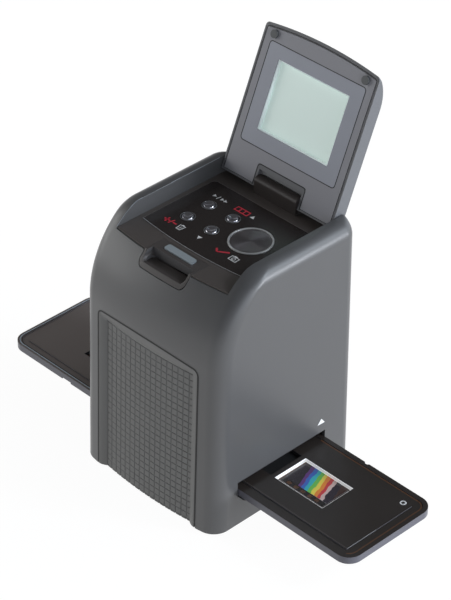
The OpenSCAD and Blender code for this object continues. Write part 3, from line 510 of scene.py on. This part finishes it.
def rounded(x0, y0, x1, y1, r, n=4):
    """A rectangle with round corners."""
    return (arc(x1 - r, y0 + r, r, -90, 0, n) + arc(x1 - r, y1 - r, r, 0, 90, n)
            + arc(x0 + r, y1 - r, r, 90, 180, n) + arc(x0 + r, y0 + r, r, 180, 270, n))


def mirrored(points):
    """The points, then their mirror images in x, in turn round the outline."""
    return points + [(-x, y) for x, y in points[::-1]]


def settle(obj, body, width=0.0, angle=32, replaces=()):
    """Finishes a piece: soft edges, its body, and hides the CAD nodes it stands for."""
    soften(obj, width, angle)
    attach(obj, body)
    if replaces:
        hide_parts(*replaces)


# ---------------------------------------------------------------- housing
def bow_rise(x, r=BOW):
    """How far the bow falls back at x from its middle."""
    return r - math.sqrt(r * r - x * x)


def bow_line(x, reach):
    """The bow at x, where its middle is at reach."""
    return reach + bow_rise(x)


def front_y(z, inset=0.0):
    """Front of the shell in the middle, at height z."""
    if z <= BEND - inset * math.sin(LEAN):
        return FRONT + (z - FOOT) * math.tan(LEAN) + inset / math.cos(LEAN)
    if z <= NOSE_Z + (NOSE - inset) * math.sin(BROW):
        return NOSE_Y - math.sqrt((NOSE - inset) ** 2 - (z - NOSE_Z) ** 2)
    return BROW_Y - math.sqrt(max(0, (BROW_R - inset) ** 2 - (z - BROW_Z) ** 2))


def surface_y(x, z, inset=0.0):
    """The bowed front of the shell at x and z, or a surface inside it by inset."""
    return front_y(z, inset) + bow_rise(x, BOW - inset)


def outline(z, inset, rear, bow_n=12, corner_n=14, rear_n=8):
    """The shell's outline at height z, from the middle of the front."""
    w = HALF - inset
    if z > ROUND_Z:
        w = HALF - ROUND + math.sqrt(max(0, (ROUND - inset) ** 2 - (z - ROUND_Z) ** 2))
    bow = BOW - inset
    corner = CORNER - inset
    rear_corner = max(0.5, REAR_CORNER - inset)
    bow_y = front_y(z, inset) + bow
    cx = w - corner
    cy = bow_y - math.sqrt((bow - corner) ** 2 - cx * cx)
    meet = math.atan2(cx, bow_y - cy)
    half = []
    for i in range(bow_n + 1):
        a = meet * i / bow_n
        half.append((bow * math.sin(a), bow_y - bow * math.cos(a)))
    for i in range(1, corner_n + 1):
        a = meet + (math.pi / 2 - meet) * i / corner_n
        half.append((cx + corner * math.sin(a), cy - corner * math.cos(a)))
    half += arc(w - rear_corner, rear - rear_corner, rear_corner, 0, 90, rear_n)
    return half + [(-x, y) for x, y in half[:0:-1]]


def shell_form(name, inset, low, rear, ceiling=None, nose_n=26, round_n=14):
    """The shell's form, smaller by inset, from low up to the ceiling or the top."""
    top_angle = math.asin((ROUND_Z - NOSE_Z) / (NOSE - inset))
    levels = [low, BEND - inset * math.sin(LEAN)]
    levels += [NOSE_Z + (NOSE - inset) * math.sin(LEAN + (top_angle - LEAN) * i / nose_n)
               for i in range(1, nose_n + 1)]
    levels += [ROUND_Z + (ROUND - inset) * math.sin(math.pi / 2 * i / round_n)
               for i in range(1, round_n + 1)]
    if ceiling is not None:
        levels = [z for z in levels if z < ceiling - 0.2] + [ceiling]
    rings = [outline(z, inset, rear) for z in levels]
    n = len(rings[0])
    verts = [(x, y, z) for ring, z in zip(rings, levels) for x, y in ring]
    faces = [[k * n + i, k * n + (i + 1) % n, (k + 1) * n + (i + 1) % n, (k + 1) * n + i]
             for k in range(len(levels) - 1) for i in range(n)]
    faces += [list(range(n))[::-1], [(len(levels) - 1) * n + i for i in range(n)]]
    return link_mesh(name, verts, faces, "shell")


def arch_top(x, m=0.0):
    """Height of the grip's top edge at x, the outline being larger by m."""
    corner = GRIP_CORNER + m
    crown = GRIP.z1 + m - GRIP_ARCH
    straight = GRIP.x1 + m - corner
    if abs(x) <= straight:
        return crown + math.sqrt(GRIP_ARCH ** 2 - x * x)
    shoulder = crown + math.sqrt((GRIP_ARCH - corner) ** 2 - straight ** 2)
    return shoulder + math.sqrt(max(0, corner ** 2 - (abs(x) - straight) ** 2))


def grip_edge(m, n=24):
    """The grip's outline seen from the front, larger by m, running out below the foot."""
    half = GRIP.x1 + m
    below = FOOT - 6
    xs = [half * math.sin(math.pi / 2 * i / n) for i in range(n, -n - 1, -1)]
    return [(half, below)] + [(x, arch_top(x, m)) for x in xs] + [(-half, below)]


def scoop_edge(half, low, corner):
    """An outline seen from the front: open at the top, with round lower corners."""
    bottom = arc(corner - half, low + corner, corner, 180, 270)
    bottom += arc(half - corner, low + corner, corner, 270, 360)
    return bottom + [(half, DECK + 6), (-half, DECK + 6)]


def cheek_gap(low, r):
    """The gap between the cheeks, seen from the front, its upper corners rounded outwards."""
    right_side = [(GAP, low), (GAP, TOP - r)]
    right_side += arc(GAP + r, TOP - r, r, 180, 90, 6)[1:]
    right_side.append((GAP + r, TOP + 15.5))
    return mirrored(right_side)


def housing_shell():
    """The front and both sides: a hollow form with an opening for each piece let into it."""
    far = 90
    ceiling = DECK - 5.4
    gap_floor = DECK - 0.8
    seat_z = DECK - 2.45
    ledge = 6.1
    deck_front = surface_y(0, gap_floor, WALL) + 0.5
    shell = shell_form("housing_shell", 0, FOOT, REAR)
    cut(shell, shell_form("hollow", WALL, FOOT - 1, REAR - WALL, ceiling))
    cut(shell, prism("between_cheeks", cheek_gap(gap_floor, 0.2), -far, far, "shell", front_view))

    # Opening below the deck, the deck's seat on a ledge round it, and the rear cover's opening
    below = box_poly(ledge - GAP, deck_front + 4, GAP - ledge, REAR - 4)
    cut(shell, prism("below_deck", below, DECK - 14.7, DECK + 5.3, "shell"))
    seat = [(GAP * i / 8, bow_line(GAP * i / 8, deck_front)) for i in range(-8, 9)]
    seat += [(GAP, REAR - 2), (-GAP, REAR - 2)]
    cut(shell, prism("deck_seat", seat, seat_z, DECK, "shell"))
    rear = box_poly(-GAP, FOOT - 1, GAP, DECK + 1)
    cut(shell, prism("rear_opening", rear, REAR - 3.5, REAR + 3, "shell", front_view))

    # Slot for the film holder, open above and below it
    slot_half = HOLDER.y1 + 0.5
    slot = box_poly(-slot_half, HOLDER.z0 - 1.3, slot_half, HOLDER.z0 + 8.5)
    cut(shell, prism("slot", slot, -far, far, "shell", side_view))

    # Recess for the grip, which follows the bow of the front, and the finger pocket's opening
    grip_fit = 0.55
    recess_deep = 3.75
    recess = prism("recess", grip_edge(grip_fit), -far, -30, "shell", front_view)
    cut(recess, shell_form("behind_recess", recess_deep, -20, REAR))
    cut(shell, recess)
    pocket_fit = 0.35
    low = DECK - POCKET_DROP - pocket_fit
    pocket = scoop_edge(POCKET_HALF + pocket_fit, low, POCKET_CORNER)
    cut(shell, prism("pocket_opening", pocket, -far, -20, "shell", front_view))
    settle(shell, "housing", 0.18, 30, ["main_shell"])


def pocket_insert():
    """The CAD's finger pocket with a wider scoop and round corners."""
    obj = bpy.data.objects.new("pocket_insert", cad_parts["finger_pocket"].data.copy())
    scene.collection.objects.link(obj)
    wall = 1.5
    half = POCKET_HALF - wall
    well_half = half - 0.6
    lip = DECK - 4.9
    floor = DECK - 6
    corner = 2.8
    well_front = SCOOP_BACK - 6.6
    cut(obj, prism("scoop", scoop_edge(half, lip, corner), -60, SCOOP_BACK, "pocket", front_view))
    well = rounded(-well_half, well_front, well_half, SCOOP_BACK, corner)
    cut(obj, prism("well", well, floor, DECK + 6, "pocket"))
    settle(obj, "housing", 0.4, 30, ["finger_pocket"])


# ---------------------------------------------------------------- grip panel
def groove(d, deep):
    """Depth of a groove at distance d from its middle."""
    return deep * 0.5 * (1 + math.cos(math.pi * min(1, d / GROOVE_HALF)))


def nearest(value, first):
    """Distance to the nearest of the lines that stand a pitch apart."""
    step = (value - first) / PITCH
    return abs(step - round(step)) * PITCH


def grip_depth(x, z):
    """How far the panel lies inside the shell's surface: a sloping border, then the blocks."""
    slope_half = GRIP.x1 - RIM
    top = arch_top(x) - RIM
    across = (slope_half - abs(x)) / (slope_half - FIELD_HALF)
    above = (top - z) / (top - FIELD_TOP)
    share = min(1, max(0, min(across, above)))
    if share < 1:
        return FIELD_DEEP * share ** 1.6
    return FIELD_DEEP + max(groove(nearest(x, GROOVE_X), GROOVE_X_DEEP),
                            groove(nearest(z, GROOVE_Z), GROOVE_Z_DEEP))


def stations(first, low, high):
    """Section lines across the blocks between low and high, closer at the grooves."""
    offsets = [-0.95, -0.6, -0.45, -0.3, -0.15, 0, 0.15, 0.3, 0.45, 0.6, 0.95, PITCH / 2]
    k0 = int((low - first) / PITCH) - 2
    k1 = int((high - first) / PITCH) + 2
    lines = [first + PITCH * k + d for k in range(k0, k1 + 1) for d in offsets]
    return [v for v in lines if low + 0.05 < v < high - 0.05]


def grip_panel(thick=3.6, close=0.15):
    """The panel as a grid of section lines, closed by a rim and a back."""
    slope_half = GRIP.x1 - RIM
    slope = [34, 35.5, 36.6, 37.1]
    border = [FIELD_HALF - close, FIELD_HALF, FIELD_HALF + close] + slope
    border += [slope_half - 0.1, slope_half, slope_half + 0.1, GRIP.x1 - close, GRIP.x1]
    xs = [-x for x in border[::-1]] + stations(GROOVE_X, close - FIELD_HALF, FIELD_HALF - close) + border
    rows = [GRIP.z0] + stations(GROOVE_Z, GRIP.z0, FIELD_TOP - close) + [FIELD_TOP - close, FIELD_TOP]
    shares = [0.03, 0.25, 0.5, 0.75, 0.9]
    verts = []
    for x in xs:
        top = arch_top(x)
        zs = rows + [FIELD_TOP + (top - RIM - FIELD_TOP) * s for s in shares]
        zs += [top - RIM - 0.06, top - RIM, top - RIM + 0.1, top]
        verts += [(x, surface_y(x, z, grip_depth(x, z)), z) for z in zs]
    nx = len(xs)
    nz = len(verts) // nx
    faces = [[i * nz + j, (i + 1) * nz + j, (i + 1) * nz + j + 1, i * nz + j + 1]
             for i in range(nx - 1) for j in range(nz - 1)]
    rim = [i * nz for i in range(nx)] + [(nx - 1) * nz + j for j in range(1, nz)]
    rim += [i * nz + nz - 1 for i in range(nx - 2, -1, -1)] + list(range(nz - 2, 0, -1))
    first = len(verts)
    m = len(rim)
    for x, _, z in [verts[k] for k in rim]:
        verts.append((x, surface_y(x, z, thick), z))
    faces += [[rim[k], first + k, first + (k + 1) % m, rim[(k + 1) % m]] for k in range(m)]
    faces.append([first + k for k in range(m)])
    obj = link_mesh("grip_texture", verts, faces, "grip")
    obj.data.polygons.foreach_set("use_smooth", [True] * len(obj.data.polygons))
    obj.data.set_sharp_from_angle(angle=math.radians(60))
    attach(obj, "housing")
    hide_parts("grip_panel")


housing_shell()
pocket_insert()
grip_panel()


# ---------------------------------------------------------------- thin pieces on the surfaces
def flat(name, polygons, place, look, body, thick=0.05):
    """Thin raised shapes: each polygon is (u, v) points, placed by place(u, v, w)."""
    verts = []
    faces = []
    for poly in polygons:
        n = len(poly)
        first = len(verts)
        verts += [place(u, v, 0.0) for u, v in poly] + [place(u, v, thick) for u, v in poly]
        faces += [[first + i for i in range(n)][::-1], [first + n + i for i in range(n)]]
        faces += [[first + i, first + (i + 1) % n, first + n + (i + 1) % n, first + n + i]
                  for i in range(n)]
    obj = link_mesh(name, verts, faces, look)
    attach(obj, body)


def ring_poly(cx, cy, r, t, n=28):
    """A thin ring as a run of quads."""
    turn = [2 * math.pi * i / n for i in range(n + 1)]
    return [[(cx + q * math.cos(c), cy + q * math.sin(c))
             for q, c in ((r - t, a), (r, a), (r, b), (r - t, b))] for a, b in zip(turn, turn[1:])]


def triangle(cx, cy, r, turn):
    """An arrowhead that points along the turn, in degrees."""
    return arc(cx, cy, r, turn, turn + 240, 2)


def stroke(points, t):
    """A line through the points, t wide, as quads."""
    out = []
    for (x0, y0), (x1, y1) in zip(points, points[1:]):
        length = math.hypot(x1 - x0, y1 - y0)
        nx = (y0 - y1) / length * t / 2
        ny = (x1 - x0) / length * t / 2
        out.append([(x0 + nx, y0 + ny), (x1 + nx, y1 + ny), (x1 - nx, y1 - ny), (x0 - nx, y0 - ny)])
    return out


def on_right_side(u, v, w):
    return HALF - 0.01 + w, u, v


def in_left_cheek(u, v, w):
    return -GAP - 0.05 - w, u, v


def on_fascia(u, v, w):
    return u, v, PLATE.z1 - 0.01 + w


def on_holder(u, v, w):
    return u, v, HOLDER.z1 - 0.01 + w


def in_channel(u, v, w):
    return u, v, HOLDER.z1 - 0.41 + w


def on_film(u, v, w):
    return u, v, FILM_TOP + 0.01 + w


def in_grip_gap(u, v, w):
    return u, surface_y(u, v, -0.12 - w), v


def on_lid(u, v, w):
    """A point of the display lid: u across, v up from its lower edge, w out of its face."""
    y = -w - 2.8
    z = v - 1.7
    c = math.cos(LID_LEAN)
    s = math.sin(LID_LEAN)
    return u, HINGE_Y + y * c + z * s, HINGE_Z - y * s + z * c


# ---------------------------------------------------------------- plain symbols
def symbol(name, x, y, polygons, look):
    """A symbol on the fascia; its polygons are drawn about its own origin, at x and y."""
    moved = [[(x + u, y + v) for u, v in poly] for poly in polygons]
    flat(name, moved, on_fascia, look, "housing")


def play_symbol():
    return ([triangle(-3, 0, 1.45, 0), triangle(2.6, 0, 1.35, 0), triangle(5, 0, 1.35, 0)]
            + stroke([(-0.4, -1.5), (0.4, 1.5)], 0.4))


def film_symbol(width=9.6, height=4.05, rail=0.75):
    bars = [0, 3, 6, width - 0.55]
    return ([box_poly(0, 0, width, rail), box_poly(0, height - rail, width, height)]
            + [box_poly(x, rail - 0.05, x + 0.7, height - rail) for x in bars])


def plus_minus_symbol():
    return (stroke([(-1.95, 0), (1.95, 0)], 1.0) + stroke([(0, -2), (0, 2)], 1.0)
            + stroke([(2.45, -2), (3.65, 2.1)], 0.8) + stroke([(4.35, 0), (6.95, 0)], 1.0))


def bin_symbol():
    lid = [box_poly(-2.15, 3.8, 2.15, 4.25), box_poly(-0.75, 4.3, 0.75, 4.7)]
    sides = stroke([(-1.65, 3.5), (-1.25, 0.3)], 0.45) + stroke([(1.65, 3.5), (1.25, 0.3)], 0.45)
    return lid + sides + [box_poly(-1.45, 0, 1.45, 0.45)] + stroke([(0, 3.2), (0, 0.8)], 0.35)


def camera_symbol(half=2.75, height=3.85, t=0.45):
    case = [box_poly(-half, 0, half, t), box_poly(-half, height - t, half, height),
            box_poly(-half, t, t - half, height - t), box_poly(half - t, t, half, height - t)]
    return case + [box_poly(-1.25, height, 0.75, height + 0.55)] + ring_poly(0, 1.9, 1.2, 0.4)


def symbols():
    """The marks on the side and the holder, and the symbols beside the keys."""
    arrow = [(29.7, 38.5), (26.8, 35.2), (32.3, 35.0)]
    flat("side_arrow", [arrow], on_right_side, "print", "housing")
    symbol("play_marks", -24.6, 27.2, play_symbol(), "print")
    symbol("up_mark", 1.3, 26.8, [triangle(0, 0, 1.6, 90)], "print")
    symbol("down_mark", -4.7, -5.9, [triangle(0, 0, 1.7, 270)], "print")
    symbol("film_icon", -11.6, 25.2, film_symbol(), "red")
    symbol("plus_minus", -28.65, -6.2, plus_minus_symbol(), "red")
    symbol("bin_icon", -18.15, -8.8, bin_symbol(), "print")
    symbol("tick_icon", 10.9, -8.2, stroke([(-2.3, 2.2), (0, 0), (5.7, 3.8)], 1.1), "red")
    symbol("camera_icon", 21.85, -8.7, camera_symbol(), "print")
    ring = ring_poly(HOLDER.x1 - 13, HOLDER.y1 - 10.3, 1.8, 0.8)
    flat("holder_ring", ring, on_holder, "print", "film_holder")


# ---------------------------------------------------------------- keys
def key_dome(key):
    """A key's cap: a round rim about a shallow dish, on the flange behind the fascia."""
    node = key + "_button"
    button = Span(node)
    cx = (button.x0 + button.x1) / 2
    cy = (button.y0 + button.y1) / 2
    low = button.z0
    flange = (button.x1 - button.x0) / 2
    cap = 3.4
    rim = 1.1
    profile = [(flange, low), (flange, low + 1), (cap, low + 1.2)]
    profile += arc(cap - rim, button.z1 - rim, rim, 0, 100)
    dish = profile[-1][0]
    profile += [(dish * q, button.z1 - 0.02 - 0.45 * (1 - q * q))
                for q in (0.9, 0.75, 0.6, 0.45, 0.3, 0.15, 0.03)]
    n = 48
    m = len(profile)
    turns = [2 * math.pi * i / n for i in range(n)]
    verts = [(cx + r * math.cos(a), cy + r * math.sin(a), z) for a in turns for r, z in profile]
    faces = [[i * m + j, (i + 1) % n * m + j, (i + 1) % n * m + j + 1, i * m + j + 1]
             for i in range(n) for j in range(m - 1)]
    faces += [[i * m for i in range(n)], [i * m + m - 1 for i in range(n)]]
    settle(link_mesh(node + "_cap", verts, faces, "cap"), key + "_key", 0, 60, [node])


# ---------------------------------------------------------------- fine lines along edges
def grip_gap():
    """Painted shade: a dark strip where the gap between the grip and the shell lies in shade."""
    edge = [(x, z) for x, z in grip_edge(0.27) if z > FOOT]
    edge = [(edge[0][0], FOOT + 1)] + edge + [(edge[-1][0], FOOT + 1)]
    flat("grip_gap", stroke(edge, 0.9), in_grip_gap, "gap", "housing", 0.02)


def cheek_highlight(n=36):
    """Painted highlight: a fine light line along the top of the left cheek's inner face."""
    rise = [DECK + (TOP - 0.1 - DECK) * i / n for i in range(n + 1)]
    path = [(surface_y(GAP, z), z) for z in rise]
    path.append((REAR - 9, TOP))
    flat("cheek_highlight", stroke(path, 0.12), in_left_cheek, "painted_cool_highlight", "housing", 0.4)


def fascia_highlights(n=24, corner=2.5):
    """Painted highlights: the light line at the fascia's front edge, and the faint ones at its sides and
    back.
    """
    half = PLATE.x1
    xs = [half * i / n for i in range(-n, n + 1)]
    front = [(x, bow_line(x, PLATE.y0)) for x in xs]
    flat("fascia_front", stroke(front, 0.32), on_fascia, "highlight", "housing", 0.08)
    side_front = front[0][1]
    side_back = PLATE.y1 - 2.4
    left = stroke([(-half, side_front), (-half, side_back)], 0.22)
    right = stroke([(half, side_front), (half, side_back)], 0.2)
    back = arc(corner - half, PLATE.y1 - corner, corner, 180, 90, 6)
    back += arc(half - corner, PLATE.y1 - corner, corner, 90, 0, 6)
    flat("fascia_sides", left + right + stroke(back, 0.3), on_fascia, "faint_highlight", "housing",
         0.06)


def cover_highlights():
    """Painted highlights: the light lines on the holder's cover at its right end and along its front."""
    x = COVER.x1 + 0.05
    change = COVER.y0 + 22
    near = stroke([(x, COVER.y0 + 0.6), (x, change)], 0.3)
    far = stroke([(x, change), (x, COVER.y1 - 0.5)], 0.16)
    front = stroke([(-COVER.x1, COVER.y0 + 0.7), (COVER.x1, COVER.y0 + 0.7)], 0.2)
    flat("cover_end_near", near, on_holder, "highlight", "film_holder")
    flat("cover_end_far", far, on_holder, "faint_highlight", "film_holder")
    flat("cover_near", front, on_holder, "faint_highlight", "film_holder")


def lid_lines():
    """Painted shade: dark strips in the gaps round the display window, the bezel and the hinge's notch.
    """
    mid = 47.6
    half_w = 34.65
    half_h = 27.85
    window = rounded(-half_w, mid - half_h, half_w, mid + half_h, 1.9, 5)
    flat("window_gap", stroke(window + window[:1], 0.5), on_lid, "gap", "lid", 0.03)

    half = 39.35
    crown = 84.75
    xs = [half * math.sin(math.pi / 2 * i / 12) for i in range(-12, 13)]
    tip = [(x, crown - bow_rise(x)) for x in xs if abs(x) < half - 0.8]
    shoulder = tip[0][1] - 0.9
    tip = [(-half, 1.7), (-half, shoulder)] + tip + [(half, shoulder), (half, 1.7)]
    flat("bezel_gap", stroke(tip, 0.45), on_lid, "gap", "lid", 0.03)

    notch = 17.5
    corner = 1.8
    collar = [(-notch, 0.4)] + arc(corner - notch, 10.6, corner, 180, 90, 5)
    collar += arc(notch - corner, 10.6, corner, 90, 0, 5) + [(notch, 0.4)]
    flat("collar_gap", stroke(collar, 0.65), on_lid, "gap", "lid", 0.03)


def holder_rims(inset=1.5, r=7.0):
    """Painted highlight: a light line along the rim of the holder's left part; painted shade: a dark
    line inside it.
    """
    end = HOLDER.x1 - inset
    side = HOLDER.y1 - inset
    wall = HALF + 1
    rim = [(-wall, side), (r - end, side)]
    rim += arc(r - end, side - r, r, 90, 180, 8)[1:]
    rim += arc(r - end, r - side, r, 180, 270, 8) + [(-wall, -side)]
    flat("holder_rim_highlight", stroke(rim, 0.45), on_holder, "blue_highlight", "film_holder", 0.03)
    dark = [(x * 0.993, y * 0.975) for x, y in rim]
    flat("holder_rim_gap", stroke(dark, 0.4), on_holder, "gap", "film_holder", 0.03)


def channel_reflection(inset=3.4, r=5.2):
    """Painted reflection: a warm light line along the far and end channel of the holder's right part."""
    end = HOLDER.x1 - inset
    side = HOLDER.y1 - inset
    path = [(HALF + 1, side), (end - r, side)]
    path += arc(end - r, side - r, r, 90, 0, 8)[1:]
    path += arc(end - r, r - side, r, 0, -60, 6)
    flat("channel_reflection", stroke(path, 0.9), in_channel, "warm_reflection", "film_holder", 0.04)


symbols()
for key in ("play", "type", "exposure", "down"):
    key_dome(key)
grip_gap()
cheek_highlight()
fascia_highlights()
cover_highlights()
lid_lines()
holder_rims()
channel_reflection()


# ---------------------------------------------------------------- film windows
def frame_ring(x, outer_x, outer_y, wall_t, z0, z1):
    """A rectangular frame standing round a window, as vertices and faces."""
    loops = [(outer_x, outer_y, z0), (outer_x, outer_y, z1),
             (outer_x - wall_t, outer_y - wall_t, z1), (outer_x - wall_t, outer_y - wall_t, z0)]
    corners = box_poly(-1, -1, 1, 1)
    verts = [(x + sx * ox, sy * oy, z) for ox, oy, z in loops for sx, sy in corners]
    faces = [[k * 4 + i, k * 4 + (i + 1) % 4, (k + 1) % 4 * 4 + (i + 1) % 4, (k + 1) % 4 * 4 + i]
             for k in range(4) for i in range(4)]
    return verts, faces


def frame_rings(name, windows, look, wall_t=0.25, fit=0.03):
    """The windows' walls: a ring at the film and a ring above it for each window."""
    levels = [(FILM_TOP + 0.02, FILM_TOP + 0.8), (FILM_TOP + 1.2, HOLDER.z1 - 0.12)]
    verts = []
    faces = []
    for x in windows:
        for z0, z1 in levels:
            more, quads = frame_ring(x, WINDOW_X / 2 - fit, WINDOW_Y / 2 - fit, wall_t, z0, z1)
            faces += [[len(verts) + i for i in quad] for quad in quads]
            verts += more
    settle(link_mesh(name, verts, faces, look), "film_holder", 0.04)


def film_frame(x, index):
    """The picture of one window, with the film's edge strip below it."""
    left = -16.6
    right = 15.2
    low = -9.3
    mid = -5.5
    high = 11.45
    picture = prism("film_picture_%d" % index, rounded(left, mid, right, high, 0.5), 0, 0.06, "picture")
    picture.location = Vector((x, 0, FILM_TOP + 0.01)) * MM
    settle(picture, "film_holder", 0.015)
    margin = [rounded(x + left, low, x + right, mid - 0.15, 0.3)]
    flat("film_margin_%d" % index, margin, on_film, "gloss", "film_holder", 0.05)
    starts = [x - 12.4 + 5.1 * k for k in range(5)]
    marks = [box_poly(u, low + 0.9, u + 2.6, mid - 0.8) for u in starts]
    flat("film_marks_%d" % index, marks, on_film, "film", "film_holder", 0.08)
    lines = stroke([(x + 14.9, low), (x + 14.9, high)], 0.3)
    lines += stroke([(x - 16, low + 0.2), (x + 15, low + 0.2)], 0.25)
    lines += stroke([(x + 3.6, mid), (x + 14.6, mid)], 0.25)
    flat("film_lines_%d" % index, lines, on_film, "edge_grey", "film_holder", 0.1)


def shaded_frame(x, half_x=17.2, half_y=11.4):
    """Painted shade: a plain dark sheet over the frame, where no light comes through from below."""
    area = rounded(x - half_x, -half_y, x + half_x, half_y, 0.5)
    flat("film_painted_shade", [area], on_film, "inner", "film_holder", 0.06)


# Painted light: the outer window's walls glow white; the other windows' walls stay black
frame_rings("film_mask", WINDOWS[-1:], "lit")
frame_rings("film_masks", WINDOWS[:-1], "inner")
for index, x in enumerate(WINDOWS):
    if x != SHADED_WINDOW:
        film_frame(x, index)
shaded_frame(SHADED_WINDOW)


# ---------------------------------------------------------------- stage and light
def any_ray(tree, names):
    """1 for the named kinds of ray, otherwise 0."""
    path = node_of(tree, "ShaderNodeLightPath")
    value = path.outputs[names[0]]
    for name in names[1:]:
        value = math_node(tree, "MAXIMUM", value, path.outputs[name])
    return value


def mix_shaders(tree, share, a, b, output):
    """Sends shader a, and b by its share, to the output."""
    made = node_of(tree, "ShaderNodeMixShader")
    tree.links.new(share, made.inputs["Fac"])
    tree.links.new(a.outputs[0], made.inputs[1])
    tree.links.new(b.outputs[0], made.inputs[2])
    tree.links.new(made.outputs["Shader"], tree.nodes[output].inputs["Surface"])


def pale_floor(half=3.0, glow_strength=0.6, white_strength=1.06):
    """A floor that looks white and keeps the shadow; half is in metres."""
    mesh = bpy.data.meshes.new("floor")
    mesh.from_pydata([(x, y, 0) for x, y in box_poly(-half, -half, half, half)], [], [[0, 1, 2, 3]])
    floor = bpy.data.objects.new("floor", mesh)
    scene.collection.objects.link(floor)
    pale = bpy.data.materials.new("pale_floor")
    pale.use_nodes = True
    tree = pale.node_tree
    plain = tree.nodes["Principled BSDF"]
    plain.inputs["Base Color"].default_value = (0.8, 0.8, 0.8, 1)
    plain.inputs["Roughness"].default_value = 0.9
    glow = node_of(tree, "ShaderNodeEmission")
    glow.inputs["Color"].default_value = (1, 1, 1, 1)
    seen = any_ray(tree, ["Is Camera Ray", "Is Glossy Ray", "Is Transmission Ray"])
    strength = math_node(tree, "MULTIPLY_ADD", seen, white_strength - glow_strength, glow_strength)
    tree.links.new(strength, glow.inputs["Strength"])
    share = math_node(tree, "MULTIPLY_ADD", seen, 0.4, 0.5)
    mix_shaders(tree, share, plain, glow, "Material Output")
    mesh.materials.append(pale)


def studio_world():
    """Dim from above, paler at the horizon, with a bright wall behind on the right.

    The camera sees plain white instead."""
    world = bpy.data.worlds.new("studio")
    scene.world = world
    world.use_nodes = True
    tree = world.node_tree
    way = separate(tree, node_of(tree, "ShaderNodeTexCoord").outputs["Generated"])
    fade = node_of(tree, "ShaderNodeValToRGB")
    horizon, above = fade.color_ramp.elements
    horizon.position = 0.02
    horizon.color = (0.68, 0.69, 0.72, 1)
    above.position = 0.56
    above.color = (0.11, 0.11, 0.11, 1)
    tree.links.new(way["Z"], fade.inputs["Fac"])

    across = math_node(tree, "MULTIPLY", way["X"], 0.8)
    towards = math_node(tree, "MULTIPLY_ADD", way["Y"], 0.6, across)
    beside = map_range(tree, towards, 0.15, 0.6, interpolation_type="SMOOTHSTEP")
    below = map_range(tree, way["Z"], 0.78, 0.55, interpolation_type="SMOOTHSTEP")
    wall = math_node(tree, "MULTIPLY", beside, below)
    air = tree.nodes["Background"]
    air.inputs["Strength"].default_value = 0.85
    colour = mix_colours(tree, wall, fade.outputs["Color"], (1.95, 2.1, 2.3, 1))
    tree.links.new(colour, air.inputs["Color"])

    white = node_of(tree, "ShaderNodeBackground")
    white.inputs["Color"].default_value = (1, 1, 1, 1)
    seen = any_ray(tree, ["Is Camera Ray", "Is Transmission Ray"])
    mix_shaders(tree, seen, air, white, "World Output")


def lamp(name, azimuth, height, size, watts, rgb):
    """A soft round lamp 2.2 m from the scanner; its size is in metres."""
    data = bpy.data.lights.new(name, "AREA")
    data.shape = "DISK"
    data.size = size
    data.energy = watts
    data.color = rgb
    obj = bpy.data.objects.new(name, data)
    stand(obj, (0, 0, 90), azimuth, height, 2200)
    obj.visible_camera = False


pale_floor()
studio_world()
lamp("key", azimuth=24, height=6, size=0.9, watts=33, rgb=(0.89, 0.93, 1.0))
lamp("edge", azimuth=30, height=38, size=0.5, watts=11, rgb=(0.80, 0.90, 1.0))
lamp("fill", azimuth=205, height=13, size=1.8, watts=19, rgb=(0.98, 0.99, 0.98))
scene.view_settings.view_transform = "Standard"
